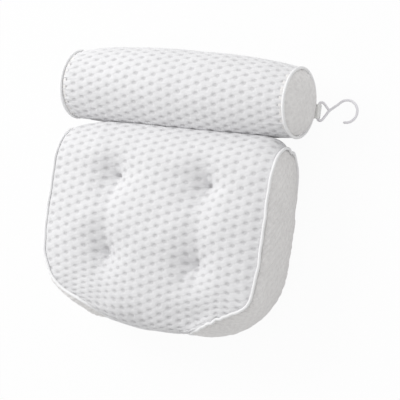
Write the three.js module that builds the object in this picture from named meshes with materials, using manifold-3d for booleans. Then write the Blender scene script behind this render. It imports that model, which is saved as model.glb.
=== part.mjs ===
// Bath pillow: a round neck roll joined by a fabric flap to a tufted back
// cushion, with a wire hook on a webbing tab and suction cups on the back.
// X runs along the roll, Y from the cushion to the roll, Z out of the front.
import * as THREE from "three";
import { mergeVertices } from "three/addons/utils/BufferGeometryUtils.js";
import Module from "manifold-3d";

const wasm = await Module();
wasm.setup();

// Fits shared by all pieces
const clearance = 0.35;
const cutOverrun = 4;

// Cushion outline, measured at its seams
const cushionHalfWidth = 170.5;
const cushionThickness = 102;
const cushionTopY = 94;
const cushionBottomY = -180.5;
const bottomBowDepth = 96;
const panelTipX = 62;
const cornerRollLength = 96;

// Cushion crown: how far the faces stand out of the seam planes
const frontCrown = 14;
const frontCrownAtEnds = 6;
const topCrown = 11;
const sideSwell = 2.5;
const backCrown = 8.3;
const backSlopeWidth = 22;
const crownPowerShare = 6;

// Tufts: four stitched pits in the front
const tuftFromSide = 99.1;
const tuftSpacingY = 110;
const tuftCentreY = -23.9;
const tuftBowlDepth = 16;
const tuftBowlRadius = 34;
const tuftPitDepth = 9;
const tuftPitRadius = 11;
const threadRadius = 0.8;
const threadHoleRadius = 1.6;
const knotRadius = 2.2;
const knotHeight = 2.4;

// Fabrics
const meshThickness = 5;
const meshSeamThickness = 1.7;
const plainThickness = 1;
const backThickness = 1.2;
const pipingRadius = 1.7;
const seamGap = 1;
const fillGap = 0.6;
const fillGapAtTufts = 9;

// Neck roll
const rollRadius = 57.5;
const rollEndTaper = 0.4;
const rollHalfLength = 175.2;
const rollDomeHeight = 17;
const domePowerShare = 3.5;
const rollGap = 2;

// Flap that joins the roll to the cushion and folds in its middle
const flapFromSide = 65.5;
const flapThickness = 1.2;
const flapLap = 15;
const foldAboveTopSeam = 6;

// Suction cups and the eyelets that hold them
const cupRimRadius = 26;
const cupSealWidth = 4;
const cupLipThickness = 1.5;
const cupHeight = 11.5;
const cupWall = 2.6;
const cupShoulderRadius = 7;
const cupNeckRadius = 4.2;
const cupHeadRadius = 6.6;
const cupHeadHeight = 3;
const cupTongueLength = 8;
const cupTongueWidth = 10;
const eyeletFlangeRadius = 10;
const eyeletBarrelRadius = 6;
const eyeletFlangeThickness = 0.9;
const neckClearance = 0.5;
const upperCupFromSide = 65.5;
const upperCupBelowSeam = 48;
const lowerCupFromSide = 78.5;
const lowerCupSpacingY = 70;
const rollCupFromEnd = 53.2;

// Hook and its webbing tab, at the right end of the roll
const wireRadius = 1.7;
const tabWidth = 20.4;
const tabThickness = 0.8;
const tabReach = 7.3;
const tabBelowAxis = 5.4;
const tabRise = 0.7;
const eyeHalfWidth = 13.1;
const eyeBendRadius = 2.6;
const eyeSideLength = 5;
const eyeLength = 16.3;
const eyeShankRise = 2.7;
const hookCircleRadius = 16;
const hookCentreOut = 42.7;
const hookCentreRise = 3.9;

// Counts
const tuftSides = 8;
const pipingSides = 6;
const wireSides = 8;

// Values that follow from the driving dimensions
const seamRadius = cushionThickness / 2;
const seamInset = pipingRadius + 2 * clearance;
const wrapCentreY = cushionTopY - seamRadius;
const bowCentreY = cushionBottomY + bottomBowDepth;
const faceBottomY = cushionBottomY + seamRadius;
const faceMiddleY = (wrapCentreY + faceBottomY) / 2;
const faceHalfLength = (wrapCentreY - faceBottomY) / 2;
const quarterTurn = Math.PI / 2;
const tuftX = cushionHalfWidth - tuftFromSide;
const tuftUpperY = tuftCentreY + tuftSpacingY / 2;
const tuftLowerY = tuftCentreY - tuftSpacingY / 2;
const tufts = [
  ["upper_left", -tuftX, tuftUpperY],
  ["upper_right", tuftX, tuftUpperY],
  ["lower_left", -tuftX, tuftLowerY],
  ["lower_right", tuftX, tuftLowerY],
];
const rollEndRadius = rollRadius - rollEndTaper;
const rollAxisY = cushionTopY + topCrown + rollGap + rollRadius;
const rollAxisZ = rollRadius - backCrown;
const flapHalfLength = cushionHalfWidth - flapFromSide;

// Materials
const fabricWhite = { color: 0xe9e9ec, roughness: 0.95, metalness: 0 };
const fabricGrey = { color: 0xd2cfcd, roughness: 0.95, metalness: 0 };
const pipingWhite = { color: 0xf7f7f8, roughness: 0.8, metalness: 0 };
const fillWhite = { color: 0xf0efe9, roughness: 1, metalness: 0 };
const threadWhite = { color: 0xeeeeee, roughness: 0.7, metalness: 0 };
const hookPlastic = { color: 0xdcdcde, roughness: 0.35, metalness: 0 };
const cupPlastic = { color: 0xdfe6ea, roughness: 0.15, metalness: 0 };
const eyeletPlastic = { color: 0xf2f2f2, roughness: 0.4, metalness: 0 };

const clamp = (v, low, high) => Math.min(high, Math.max(low, v));
const smooth = (v) => clamp(v, 0, 1) ** 2 * (3 - 2 * clamp(v, 0, 1));
const crownShare = (share) => 1 - clamp(Math.abs(share), 0, 1) ** crownPowerShare;
const steps = (count) => Array.from({ length: count + 1 }, (_, i) => i / count);

// Half width of the seam outline at a height on the plan
function halfWidthAt(y) {
  const drop = clamp((bowCentreY - y) / bottomBowDepth, 0, 1);
  return cushionHalfWidth * Math.sqrt(1 - drop * drop);
}

// The right half of the seam outline as a path: straight side, then half bow
const outlineSteps = 240;
const bowTable = [{ length: 0, angle: 0 }];
for (let i = 1; i <= outlineSteps; i += 1) {
  const angle = (quarterTurn * i) / outlineSteps;
  const last = bowTable[i - 1];
  const dx = cushionHalfWidth * (Math.cos(angle) - Math.cos(last.angle));
  const dy = bottomBowDepth * (Math.sin(angle) - Math.sin(last.angle));
  bowTable.push({ length: last.length + Math.hypot(dx, dy), angle });
}
const sideLength = wrapCentreY - bowCentreY;
const outlineLength = sideLength + bowTable[outlineSteps].length;

// Point and inward direction at a length along the right half outline
function outlineAt(length) {
  if (length <= sideLength) {
    return { x: cushionHalfWidth, y: wrapCentreY - length, inX: -1, inY: 0 };
  }
  const rest = Math.min(length - sideLength, bowTable[outlineSteps].length);
  let i = 1;
  while (i < outlineSteps && bowTable[i].length < rest) i += 1;
  const from = bowTable[i - 1];
  const to = bowTable[i];
  const part = (rest - from.length) / (to.length - from.length);
  const angle = from.angle + part * (to.angle - from.angle);
  const normal = new THREE.Vector2(
    Math.cos(angle) / cushionHalfWidth,
    -Math.sin(angle) / bottomBowDepth,
  ).normalize();
  return {
    x: cushionHalfWidth * Math.cos(angle),
    y: bowCentreY - bottomBowDepth * Math.sin(angle),
    inX: -normal.x,
    inY: -normal.y,
  };
}

// Length along the outline at which the side panel's lower tip lies
const tipAngle = Math.acos(panelTipX / cushionHalfWidth);
const tipStep = Math.round((outlineSteps * tipAngle) / quarterTurn);
const panelTipLength = sideLength + bowTable[tipStep].length;
const panelEndCentre = panelTipLength - seamRadius;

// Length at which the side panel's rounded end crosses a height
function panelEndAt(z) {
  return panelEndCentre + Math.sqrt(Math.max(0, seamRadius ** 2 - (z - seamRadius) ** 2));
}

// How square the wall is: 1 along the side panel, 0 where the mesh rolls under
const squareness = (length, z) => smooth(1 - (length - panelEndAt(z)) / cornerRollLength);

// Point of the cushion's wall, by length along the outline and height
function wallPoint(length, z, swell) {
  const at = outlineAt(length);
  const round = seamRadius - Math.sqrt(Math.max(0, seamRadius ** 2 - (z - seamRadius) ** 2));
  const inset = (1 - squareness(length, z)) * round - swell;
  return new THREE.Vector3(at.x + at.inX * inset, at.y + at.inY * inset, z);
}

// Depth of the tufts' bowls and pits under a plan point
function tuftDepth(x, y) {
  let depth = 0;
  for (const [, tx, ty] of tufts) {
    const r = Math.hypot(x - tx, y - ty);
    depth += tuftBowlDepth * Math.exp(-((r / tuftBowlRadius) ** 2));
    depth += tuftPitDepth * Math.exp(-r / tuftPitRadius);
  }
  return depth;
}

function nearTuft(x, y) {
  let near = 0;
  for (const [, tx, ty] of tufts) {
    const r = Math.hypot(x - tx, y - ty);
    near = Math.max(near, Math.exp(-((r / tuftBowlRadius) ** 2)));
  }
  return near;
}

function crownAlong(y) {
  const share = clamp((y - faceMiddleY) / faceHalfLength, -1, 1);
  return frontCrownAtEnds + (frontCrown - frontCrownAtEnds) * (1 - share * share);
}

// Height of the front face over a plan point
function frontHeight(x, y) {
  const crown = crownShare(x / Math.max(halfWidthAt(y), seamInset)) * crownAlong(y);
  return cushionThickness + crown - tuftDepth(x, y);
}

// Share of the back crown reached at a plan point
function backShare(x, y) {
  const fromSide = smooth((halfWidthAt(y) - Math.abs(x)) / backSlopeWidth);
  const fromTop = smooth((wrapCentreY - y) / backSlopeWidth);
  const fromBottom = smooth((y - faceBottomY) / backSlopeWidth);
  return fromSide * fromTop * fromBottom;
}

// Closed geometry from points and triangles, with its faces out
function closedGeometry(points, triangles) {
  const geometry = new THREE.BufferGeometry();
  const flat = points.flatMap((p) => [p.x, p.y, p.z]);
  geometry.setAttribute("position", new THREE.Float32BufferAttribute(flat, 3));
  geometry.setIndex(triangles.flat());
  return facingOut(geometry);
}

function facingOut(geometry) {
  geometry.deleteAttribute("normal");
  geometry.deleteAttribute("uv");
  const merged = mergeVertices(geometry, clearance / 1000);
  const at = merged.attributes.position;
  const index = merged.index.array;
  const [a, b, c] = [new THREE.Vector3(), new THREE.Vector3(), new THREE.Vector3()];
  const kept = [];
  let volume = 0;
  for (let i = 0; i < index.length; i += 3) {
    const [p, q, r] = [index[i], index[i + 1], index[i + 2]];
    if (p === q || q === r || p === r) continue;
    a.fromBufferAttribute(at, p);
    b.fromBufferAttribute(at, q);
    c.fromBufferAttribute(at, r);
    volume += a.dot(b.cross(c));
    kept.push(p, q, r);
  }
  if (volume < 0) kept.reverse();
  merged.setIndex(kept);
  merged.computeVertexNormals();
  return merged;
}

function toSolid(geometry) {
  const vertProperties = new Float32Array(geometry.attributes.position.array);
  const triVerts = new Uint32Array(geometry.index.array);
  return new wasm.Manifold(new wasm.Mesh({ numProp: 3, vertProperties, triVerts }));
}

function toGeometry(solid) {
  const mesh = solid.getMesh();
  const geometry = new THREE.BufferGeometry();
  const flat = new Float32Array(mesh.vertProperties);
  geometry.setAttribute("position", new THREE.BufferAttribute(flat, 3));
  geometry.setIndex([...mesh.triVerts]);
  return facingOut(geometry);
}

function cutFrom(geometry, tools) {
  let solid = toSolid(geometry);
  for (const tool of tools) solid = solid.subtract(toSolid(tool));
  return toGeometry(solid);
}

// A sheet of fabric: a grid of outer points, thickened inwards at each point.
// Rows that flatRow picks out are thickened straight up, to meet their seam.
function sheetGeometry(grid, thicknessAt, inward, flatRow = () => false) {
  const rows = grid.length;
  const columns = grid[0].length;
  const points = grid.flat();
  for (let i = 0; i < rows; i += 1) {
    for (let j = 0; j < columns; j += 1) {
      const along = grid[Math.min(i + 1, rows - 1)][j].clone();
      along.sub(grid[Math.max(i - 1, 0)][j]);
      const across = grid[i][Math.min(j + 1, columns - 1)].clone();
      across.sub(grid[i][Math.max(j - 1, 0)]);
      const normal = along.cross(across).normalize().multiplyScalar(inward);
      if (flatRow(i)) normal.set(0, 0, 1);
      points.push(grid[i][j].clone().addScaledVector(normal, thicknessAt(i, j)));
    }
  }
  const outer = (i, j) => i * columns + j;
  const inner = (i, j) => rows * columns + i * columns + j;
  const triangles = [];
  for (let i = 0; i < rows - 1; i += 1) {
    for (let j = 0; j < columns - 1; j += 1) {
      const [a, b] = [outer(i, j), outer(i, j + 1)];
      const [c, d] = [outer(i + 1, j + 1), outer(i + 1, j)];
      triangles.push([a, b, c], [a, c, d]);
      const [e, f] = [inner(i, j), inner(i, j + 1)];
      const [g, h] = [inner(i + 1, j + 1), inner(i + 1, j)];
      triangles.push([e, g, f], [e, h, g]);
    }
  }
  const rim = [];
  for (let j = 0; j < columns - 1; j += 1) rim.push([0, j]);
  for (let i = 0; i < rows - 1; i += 1) rim.push([i, columns - 1]);
  for (let j = columns - 1; j > 0; j -= 1) rim.push([rows - 1, j]);
  for (let i = rows - 1; i > 0; i -= 1) rim.push([i, 0]);
  rim.forEach((from, k) => {
    const to = rim[(k + 1) % rim.length];
    const [a, b] = [outer(...from), outer(...to)];
    const [c, d] = [inner(...to), inner(...from)];
    triangles.push([a, c, b], [a, d, c]);
  });
  return closedGeometry(points, triangles);
}

// A round tube with a ring at each point, closed on itself or with blunt tips
function tubeGeometry(path, radius, sides, closed) {
  const count = path.length;
  const pick = (i) => (closed ? path[(i + count) % count] : path[clamp(i, 0, count - 1)]);
  const tangents = path.map((_, i) => pick(i + 1).clone().sub(pick(i - 1)).normalize());
  const normals = [new THREE.Vector3(0, 0, 1).cross(tangents[0]).normalize()];
  const carried = (normal, i) => {
    const tangent = tangents[i % count];
    return normal.clone().addScaledVector(tangent, -normal.dot(tangent)).normalize();
  };
  for (let i = 1; i < count; i += 1) normals.push(carried(normals[i - 1], i));
  const back = carried(normals[count - 1], count);
  const side = new THREE.Vector3().crossVectors(tangents[0], normals[0]);
  const twist = closed ? Math.atan2(back.dot(side), back.dot(normals[0])) : 0;
  const points = [];
  const triangles = [];
  path.forEach((centre, i) => {
    const binormal = new THREE.Vector3().crossVectors(tangents[i], normals[i]);
    for (let j = 0; j < sides; j += 1) {
      const angle = (2 * Math.PI * j) / sides - (twist * i) / count;
      const point = centre.clone().addScaledVector(normals[i], radius * Math.cos(angle));
      points.push(point.addScaledVector(binormal, radius * Math.sin(angle)));
    }
  });
  const at = (i, j) => (i % count) * sides + (j % sides);
  for (let i = 0; i < (closed ? count : count - 1); i += 1) {
    for (let j = 0; j < sides; j += 1) {
      triangles.push([at(i, j), at(i + 1, j), at(i + 1, j + 1)]);
      triangles.push([at(i, j), at(i + 1, j + 1), at(i, j + 1)]);
    }
  }
  if (!closed) {
    points.push(path[0].clone().addScaledVector(tangents[0], -radius / 2));
    points.push(path[count - 1].clone().addScaledVector(tangents[count - 1], radius / 2));
    for (let j = 0; j < sides; j += 1) {
      triangles.push([points.length - 2, at(0, j), at(0, j + 1)]);
      triangles.push([points.length - 1, at(count - 1, j + 1), at(count - 1, j)]);
    }
  }
  return closedGeometry(points, triangles);
}

// A turned body: radius and height pairs about Z
function turnedGeometry(profile, sides) {
  const shape = profile.map(([radius, height]) => new THREE.Vector2(radius, height));
  const geometry = new THREE.LatheGeometry(shape, sides);
  geometry.rotateX(quarterTurn);
  return facingOut(geometry);
}

// A turned body about X, from radius and length pairs
function rolledGeometry(profile, sides) {
  const geometry = turnedGeometry(profile, sides);
  geometry.rotateY(quarterTurn);
  return facingOut(geometry);
}

// An outline in Y and Z drawn out along X on both sides of the middle
function barGeometry(outline, halfLength) {
  const shape = new THREE.Shape(outline.map(([y, z]) => new THREE.Vector2(y, z)));
  const options = { depth: 2 * halfLength, bevelEnabled: false };
  const geometry = new THREE.ExtrudeGeometry(shape, options);
  geometry.translate(0, 0, -halfLength);
  geometry.rotateY(quarterTurn);
  geometry.rotateX(quarterTurn);
  return facingOut(geometry);
}

function pieceOf(name, geometry, finish) {
  const mesh = new THREE.Mesh(geometry, new THREE.MeshStandardMaterial(finish));
  mesh.name = name;
  return mesh;
}

const mirrorX = (points) => points.map((p) => new THREE.Vector3(-p.x, p.y, p.z));

// Face patch between its top line, its two sides and its lower edge
const lowerWrapSteps = 12;
const wrapBoundary = (seamRadius + seamInset + clearance) / Math.cos(quarterTurn / lowerWrapSteps);
const wrapReach = (z) => Math.sqrt(Math.max(0, wrapBoundary ** 2 - (z - seamRadius) ** 2));
const faceCornerLength = panelEndCentre + wrapReach(cushionThickness);

function faceEdgePoint(length) {
  const at = outlineAt(length);
  const square = squareness(length, cushionThickness);
  const inset = (1 - square) * seamRadius + square * seamInset;
  return new THREE.Vector2(at.x + at.inX * inset, at.y + at.inY * inset);
}

function lowerEdgePoint(share) {
  const length = outlineLength - Math.abs(share) * (outlineLength - faceCornerLength);
  const point = faceEdgePoint(length);
  point.x *= Math.sign(share);
  return point;
}

// Plan point of the face patch, by its column and row shares
function facePoint(share, row) {
  const side = faceEdgePoint(row * faceCornerLength);
  const corner = faceEdgePoint(faceCornerLength);
  const low = lowerEdgePoint(share);
  const sideRow = (wrapCentreY - side.y) / (wrapCentreY - corner.y);
  const part = row + share * share * (sideRow - row);
  const x = share * side.x + row * (low.x - share * corner.x);
  return new THREE.Vector2(x, wrapCentreY - part * (wrapCentreY - low.y));
}

// Moves the grid point nearest to each tuft onto the tuft
function snapToTufts(grid) {
  for (const [, tx, ty] of tufts) {
    const points = grid.flat();
    const gap = (p) => Math.hypot(p.x - tx, p.y - ty);
    const nearest = points.reduce((best, p) => (gap(p) < gap(best) ? p : best));
    nearest.set(tx, ty);
  }
}

const columnShares = [-1, -0.94, -0.84, -0.7, -0.55, -0.42, -0.28, -0.14, 0,
  0.14, 0.28, 0.42, 0.55, 0.7, 0.84, 0.94, 1];
const frontRowShares = [0.06, 0.16, 0.27, 0.38, 0.5, 0.61, 0.72, 0.83, 0.93];
const upperWrapSteps = 8;

// Front mesh cover: over the rounded top, down the front and under the bottom
function frontCoverGrid() {
  const grid = [];
  for (const part of steps(upperWrapSteps)) {
    const angle = (2 * part - 1) * quarterTurn;
    grid.push(columnShares.map((share) => {
      const x = share * (cushionHalfWidth - seamInset);
      const crown = crownShare(x / cushionHalfWidth);
      const y = wrapCentreY + (seamRadius + crown * topCrown) * Math.cos(angle);
      const lift = angle > 0 ? crown * frontCrownAtEnds - tuftDepth(x, y) : 0;
      return new THREE.Vector3(x, y, seamRadius + (seamRadius + lift) * Math.sin(angle));
    }));
  }
  const plan = frontRowShares.map((row) => columnShares.map((c) => facePoint(c, row)));
  snapToTufts(plan);
  for (const row of plan) {
    grid.push(row.map((p) => new THREE.Vector3(p.x, p.y, frontHeight(p.x, p.y))));
  }
  for (const part of steps(lowerWrapSteps)) {
    grid.push(columnShares.map((share) => lowerWrapPoint(share, (1 - 2 * part) * quarterTurn)));
  }
  return grid;
}

function lowerWrapPoint(share, angle) {
  const z = seamRadius + seamRadius * Math.sin(angle);
  const start = panelEndCentre + wrapReach(z);
  const length = outlineLength - Math.abs(share) * (outlineLength - start);
  const point = wallPoint(length, z, 0);
  if (angle === quarterTurn) {
    const edge = lowerEdgePoint(share);
    const drop = seamRadius - Math.sqrt(seamRadius ** 2 - wrapReach(z) ** 2);
    point.set(Math.abs(edge.x), edge.y, z - drop * share ** (2 * crownPowerShare));
  }
  point.x *= Math.sign(share);
  const lift = crownShare(share) * frontCrownAtEnds - tuftDepth(point.x, point.y);
  if (angle > 0) point.z += lift * Math.sin(angle);
  return point;
}

function frontCover() {
  const grid = frontCoverGrid();
  const thicknessAt = (i, j) => {
    const side = 1 - Math.abs(columnShares[j]) ** (2 * crownPowerShare);
    const end = smooth(Math.min(i, grid.length - 1 - i) / 3);
    const pinch = 1 - 0.65 * nearTuft(grid[i][j].x, grid[i][j].y);
    return meshSeamThickness + (meshThickness - meshSeamThickness) * side * end * pinch;
  };
  const seamRow = (i) => i === 0 || i === grid.length - 1;
  const geometry = sheetGeometry(grid, thicknessAt, -1, seamRow);
  return pieceOf("front_cover", cutFrom(geometry, threadHoles()), fabricWhite);
}

// Cutters for the tuft threads, right through the cushion
function threadHoles() {
  return tufts.map(([, x, y]) => {
    const height = cushionThickness + 2 * (frontCrown + backCrown + cutOverrun);
    const hole = new THREE.CylinderGeometry(threadHoleRadius, threadHoleRadius, height, tuftSides);
    hole.rotateX(quarterTurn);
    hole.translate(x, y, cushionThickness / 2);
    return facingOut(hole);
  });
}

const backRowShares = [0, 0.065, 0.13, 0.25, 0.37, 0.5, 0.63, 0.75, 0.86, 0.93, 1];

// Back panel: plain fabric from the top seam to the bottom seam
function backPanel() {
  const shrink = 1 - seamGap / faceHalfLength;
  const grid = backRowShares.map((row) => columnShares.map((share) => {
    const plan = facePoint(share, row);
    const y = faceMiddleY + shrink * (plan.y - faceMiddleY);
    return new THREE.Vector3(plan.x, y, -backCrown * backShare(plan.x, y));
  }));
  const geometry = sheetGeometry(grid, () => backThickness, 1, () => true);
  const cups = cushionCupPlaces().map(([, x, y]) => barrelCutter(x, y));
  return pieceOf("back_panel", cutFrom(geometry, [...threadHoles(), ...cups]), fabricGrey);
}

// Side panel: a band with rounded ends, down the side and round the corner
function sidePanel(name, side) {
  const radius = seamRadius - seamInset - clearance;
  const grid = steps(6).map((across) => {
    const reach = radius * Math.sin(Math.PI * across);
    const z = seamRadius - radius * Math.cos(Math.PI * across);
    return steps(20).map((along) => {
      const length = -reach + along * (panelEndCentre + 2 * reach);
      const swell = sideSwell * Math.sin(Math.PI * across) * crownShare(2 * along - 1);
      const point = wallPoint(length, z, swell);
      point.x *= side;
      return point;
    });
  });
  return pieceOf(name, sheetGeometry(grid, () => plainThickness, -side), fabricGrey);
}

// Piping: one loop round each side panel, on the seam lines
const runSteps = 15;
const upperEndSteps = 12;
const lowerEndSteps = 18;

function sidePiping(name, side) {
  const points = [];
  for (const part of steps(runSteps).slice(1)) {
    points.push(wallPoint(part * panelEndCentre, cushionThickness, 0));
  }
  for (const part of steps(lowerEndSteps).slice(1)) {
    const angle = (1 - 2 * part) * quarterTurn;
    const z = seamRadius + seamRadius * Math.sin(angle);
    points.push(wallPoint(panelEndCentre + seamRadius * Math.cos(angle), z, 0));
  }
  for (const part of steps(runSteps).slice(1)) {
    points.push(wallPoint((1 - part) * panelEndCentre, 0, 0));
  }
  for (const part of steps(upperEndSteps).slice(1)) {
    const angle = (2 * part - 1) * quarterTurn;
    const z = seamRadius + seamRadius * Math.sin(angle);
    points.push(wallPoint(-seamRadius * Math.cos(angle), z, 0));
  }
  const path = side < 0 ? mirrorX(points) : points;
  const geometry = tubeGeometry(path, pipingRadius, pipingSides, true);
  return pieceOf(name, geometry, pipingWhite);
}

const coreStationShares = [-1, -0.96, -0.88, -0.76, -0.6, -0.44, -0.22, 0,
  0.22, 0.44, 0.6, 0.76, 0.88, 0.96, 1];

// How far the tufts press the filling in, with room for the gathered cover
const coreDip = (x, y) => tuftDepth(x, y) + fillGapAtTufts * nearTuft(x, y);

// One closed section of the cushion's filling, across X at a station
function coreSection(x) {
  const inset = meshThickness + fillGap + fillGap;
  const radius = seamRadius - inset;
  const half = cushionHalfWidth - inset;
  const depth = bottomBowDepth - inset - 4 * fillGap;
  const bow = depth * Math.sqrt(Math.max(0, 1 - (x / half) ** 2));
  const lowY = bowCentreY - bow;
  const tipDistance = Math.abs(x) - panelTipX;
  const square = smooth(tipDistance / seamRadius);
  const cornerY = lowY + (1 - square) * radius;
  const crown = crownShare(x / half);
  const points = [];
  for (const part of steps(8)) {
    const angle = (2 * part - 1) * quarterTurn;
    const y = wrapCentreY + (radius + crown * topCrown) * Math.cos(angle);
    const lift = angle > 0 ? crown * frontCrownAtEnds - coreDip(x, y) : 0;
    points.push([y, seamRadius + (radius + lift) * Math.sin(angle)]);
  }
  const heightAt = (y) => frontHeight(x, y) + tuftDepth(x, y) - inset - coreDip(x, y);
  const middles = [tuftUpperY, 0.5 * tuftUpperY + 0.5 * tuftCentreY, tuftCentreY,
    0.5 * tuftLowerY + 0.5 * tuftCentreY, tuftLowerY];
  for (const y of middles) points.push([y, heightAt(y)]);
  points.push([0.5 * tuftLowerY + 0.5 * cornerY, heightAt(0.5 * tuftLowerY + 0.5 * cornerY)]);
  for (const part of steps(6)) {
    const angle = (1 - 2 * part) * quarterTurn;
    const y = cornerY - (1 - square) * radius * Math.cos(angle);
    const lift = angle > 0 ? crown * frontCrownAtEnds * (1 - square) - coreDip(x, y) : 0;
    points.push([y, seamRadius + (radius + lift) * Math.sin(angle)]);
  }
  const rise = backCrown + inset - backThickness - 4 * fillGap;
  for (const share of [0.13, 0.3, 0.5, 0.7, 0.87]) {
    const y = cornerY + share * (wrapCentreY - cornerY);
    const reached = Math.max(0, 2 * backShare(x, y) - 1);
    points.push([y, inset - rise * reached]);
  }
  return points;
}

function cushionCore() {
  const half = cushionHalfWidth - meshThickness - fillGap;
  const stations = coreStationShares.map((share) => share * (half - fillGap));
  const sections = stations.map((x) => coreSection(x));
  const count = sections[0].length;
  const points = sections.flatMap((s, i) => s.map(([y, z]) => new THREE.Vector3(stations[i], y, z)));
  const at = (i, j) => i * count + (j % count);
  const triangles = [];
  for (let i = 0; i < sections.length - 1; i += 1) {
    for (let j = 0; j < count; j += 1) {
      triangles.push([at(i, j), at(i + 1, j), at(i + 1, j + 1)]);
      triangles.push([at(i, j), at(i + 1, j + 1), at(i, j + 1)]);
    }
  }
  for (const [i, turn] of [[0, false], [sections.length - 1, true]]) {
    points.push(new THREE.Vector3(stations[i], faceMiddleY, seamRadius));
    for (let j = 0; j < count; j += 1) {
      const ends = turn ? [at(i, j + 1), at(i, j)] : [at(i, j), at(i, j + 1)];
      triangles.push([points.length - 1, ...ends]);
    }
  }
  const pockets = cushionCupPlaces().map(([, x, y]) => headPocket(x, y, backThickness));
  const geometry = cutFrom(closedGeometry(points, triangles), [...threadHoles(), ...pockets]);
  return pieceOf("cushion_core", geometry, fillWhite);
}

// Thread of one tuft, with a knot in the pit and one behind the back panel
function tuftStitch(name, x, y) {
  const pitZ = frontHeight(x, y) + clearance;
  const backZ = -backCrown - clearance;
  const profile = [
    [0, backZ - knotHeight],
    [knotRadius, backZ - knotHeight / 2],
    [knotRadius, backZ],
    [threadRadius, backZ],
    [threadRadius, pitZ],
    [threadRadius + clearance, pitZ + knotHeight / 2],
    [threadRadius + clearance, pitZ + knotHeight],
    [0, pitZ + knotHeight + clearance],
  ];
  const stitch = pieceOf(`tuft_stitch_${name}`, turnedGeometry(profile, tuftSides), threadWhite);
  stitch.position.set(x, y, 0);
  return stitch;
}

// Neck roll, built about its own axis and lying along X
const domeAt = (radius, edge) => rollDomeHeight * (1 - (radius / edge) ** domePowerShare);

function rollCover() {
  const half = rollHalfLength - seamInset;
  const outer = [-1, -0.93, -0.5, 0, 0.5, 0.93, 1];
  const radiusAt = (share) => rollEndRadius
    + (rollRadius - rollEndRadius) * (1 - share ** 2);
  const wallAt = (share) => meshSeamThickness
    + (meshThickness - meshSeamThickness) * (1 - Math.abs(share) ** 12);
  const profile = [
    ...outer.map((s) => [radiusAt(s), s * half]),
    ...outer.toReversed().map((s) => [radiusAt(s) - wallAt(s), s * half]),
  ];
  profile.push(profile[0]);
  const geometry = rolledGeometry(profile, 36);
  const cutters = rollCupPlaces().map(([, x]) => {
    const cutter = barrelCutter(x, 0);
    cutter.translate(0, 0, -rollAxisZ);
    return cutter;
  });
  return pieceOf("roll_cover", cutFrom(geometry, cutters), fabricWhite);
}

function rollEndPanel(name, side) {
  const edge = rollEndRadius - seamInset;
  const radii = [0, 0.3, 0.6, 0.82, 1].map((share) => share * edge);
  const outer = radii.map((r) => [r, rollHalfLength + domeAt(r, edge)]);
  const inner = radii.map((r) => [r, rollHalfLength + domeAt(r, edge) - plainThickness]);
  const panel = pieceOf(name, rolledGeometry([...outer, ...inner.toReversed()], 28), fabricGrey);
  panel.rotation.z = side > 0 ? 0 : Math.PI;
  return panel;
}

function rollPiping(name, side) {
  const geometry = new THREE.TorusGeometry(rollEndRadius, pipingRadius, pipingSides, 40);
  geometry.rotateY(quarterTurn);
  const piping = pieceOf(name, facingOut(geometry), pipingWhite);
  piping.position.x = side * rollHalfLength;
  return piping;
}

function rollCore() {
  const radius = rollEndRadius - meshThickness - fillGap;
  const radii = [0, 0.35, 0.7, 0.9].map((share) => share * radius);
  const back = plainThickness + 2 * fillGap;
  const edge = rollEndRadius - seamInset;
  const right = radii.map((r) => [r, rollHalfLength + domeAt(r, edge) - back]);
  const shoulder = rollHalfLength - back;
  const left = right.map(([r, h]) => [r, -h]).toReversed();
  const profile = [...right, [radius, shoulder], [radius, -shoulder], ...left];
  const pockets = rollCupPlaces().map(([, x]) => {
    const pocket = headPocket(x, 0, rollGrip());
    pocket.translate(0, 0, -rollAxisZ);
    return pocket;
  });
  const geometry = cutFrom(rolledGeometry(profile, 28), pockets);
  return pieceOf("roll_core", geometry, fillWhite);
}

// Flap: two flat halves that meet at the fold, one lapped under the roll
const flapFrontZ = -clearance;
const flapBackZ = flapFrontZ - flapThickness;
const foldY = cushionTopY + foldAboveTopSeam;

function cushionFlap() {
  const outline = [
    [wrapCentreY + seamGap, flapFrontZ],
    [foldY - clearance, flapFrontZ],
    [foldY - clearance, flapBackZ],
    [wrapCentreY + seamGap, flapBackZ],
  ];
  return pieceOf("cushion_flap", barGeometry(outline, flapHalfLength), fabricGrey);
}

function rollFlap() {
  const innerRadius = rollRadius + clearance;
  const outerRadius = innerRadius + flapThickness;
  const lapStart = Math.asin((rollAxisZ - flapFrontZ) / innerRadius);
  const outerStart = Math.asin((rollAxisZ - flapBackZ) / outerRadius);
  const lapAngle = flapLap / innerRadius;
  const arc = (radius, from, to) => steps(4).map((part) => {
    const angle = from + part * (to - from);
    return [-radius * Math.cos(angle), -radius * Math.sin(angle)];
  });
  const outline = [
    [foldY + clearance - rollAxisY, flapFrontZ - rollAxisZ],
    ...arc(innerRadius, lapStart, lapStart + lapAngle),
    ...arc(outerRadius, outerStart, lapStart + lapAngle).toReversed(),
    [foldY + clearance - rollAxisY, flapBackZ - rollAxisZ],
  ];
  return pieceOf("roll_flap", barGeometry(outline, flapHalfLength), fabricGrey);
}

// Suction cups: rims in one plane, necks through eyelets in the fabric
const outerFlangeZ = -backCrown - clearance;
const cupShoulderZ = outerFlangeZ - eyeletFlangeThickness - clearance;
const cupRimZ = cupShoulderZ - cupHeight;

// Thickness that an eyelet grips on the roll, its curve under the flange included
function rollGrip() {
  const inner = rollRadius - meshThickness;
  const curve = inner - Math.sqrt(inner ** 2 - eyeletFlangeRadius ** 2);
  return meshThickness + curve + rollRadius - rollEndRadius;
}

function cushionCupPlaces() {
  const upperY = wrapCentreY - upperCupBelowSeam;
  const lowerY = upperY - lowerCupSpacingY;
  const upperX = cushionHalfWidth - upperCupFromSide;
  const lowerX = cushionHalfWidth - lowerCupFromSide;
  return [
    ["upper_left", -upperX, upperY],
    ["upper_right", upperX, upperY],
    ["lower_left", -lowerX, lowerY],
    ["lower_right", lowerX, lowerY],
  ];
}

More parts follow.
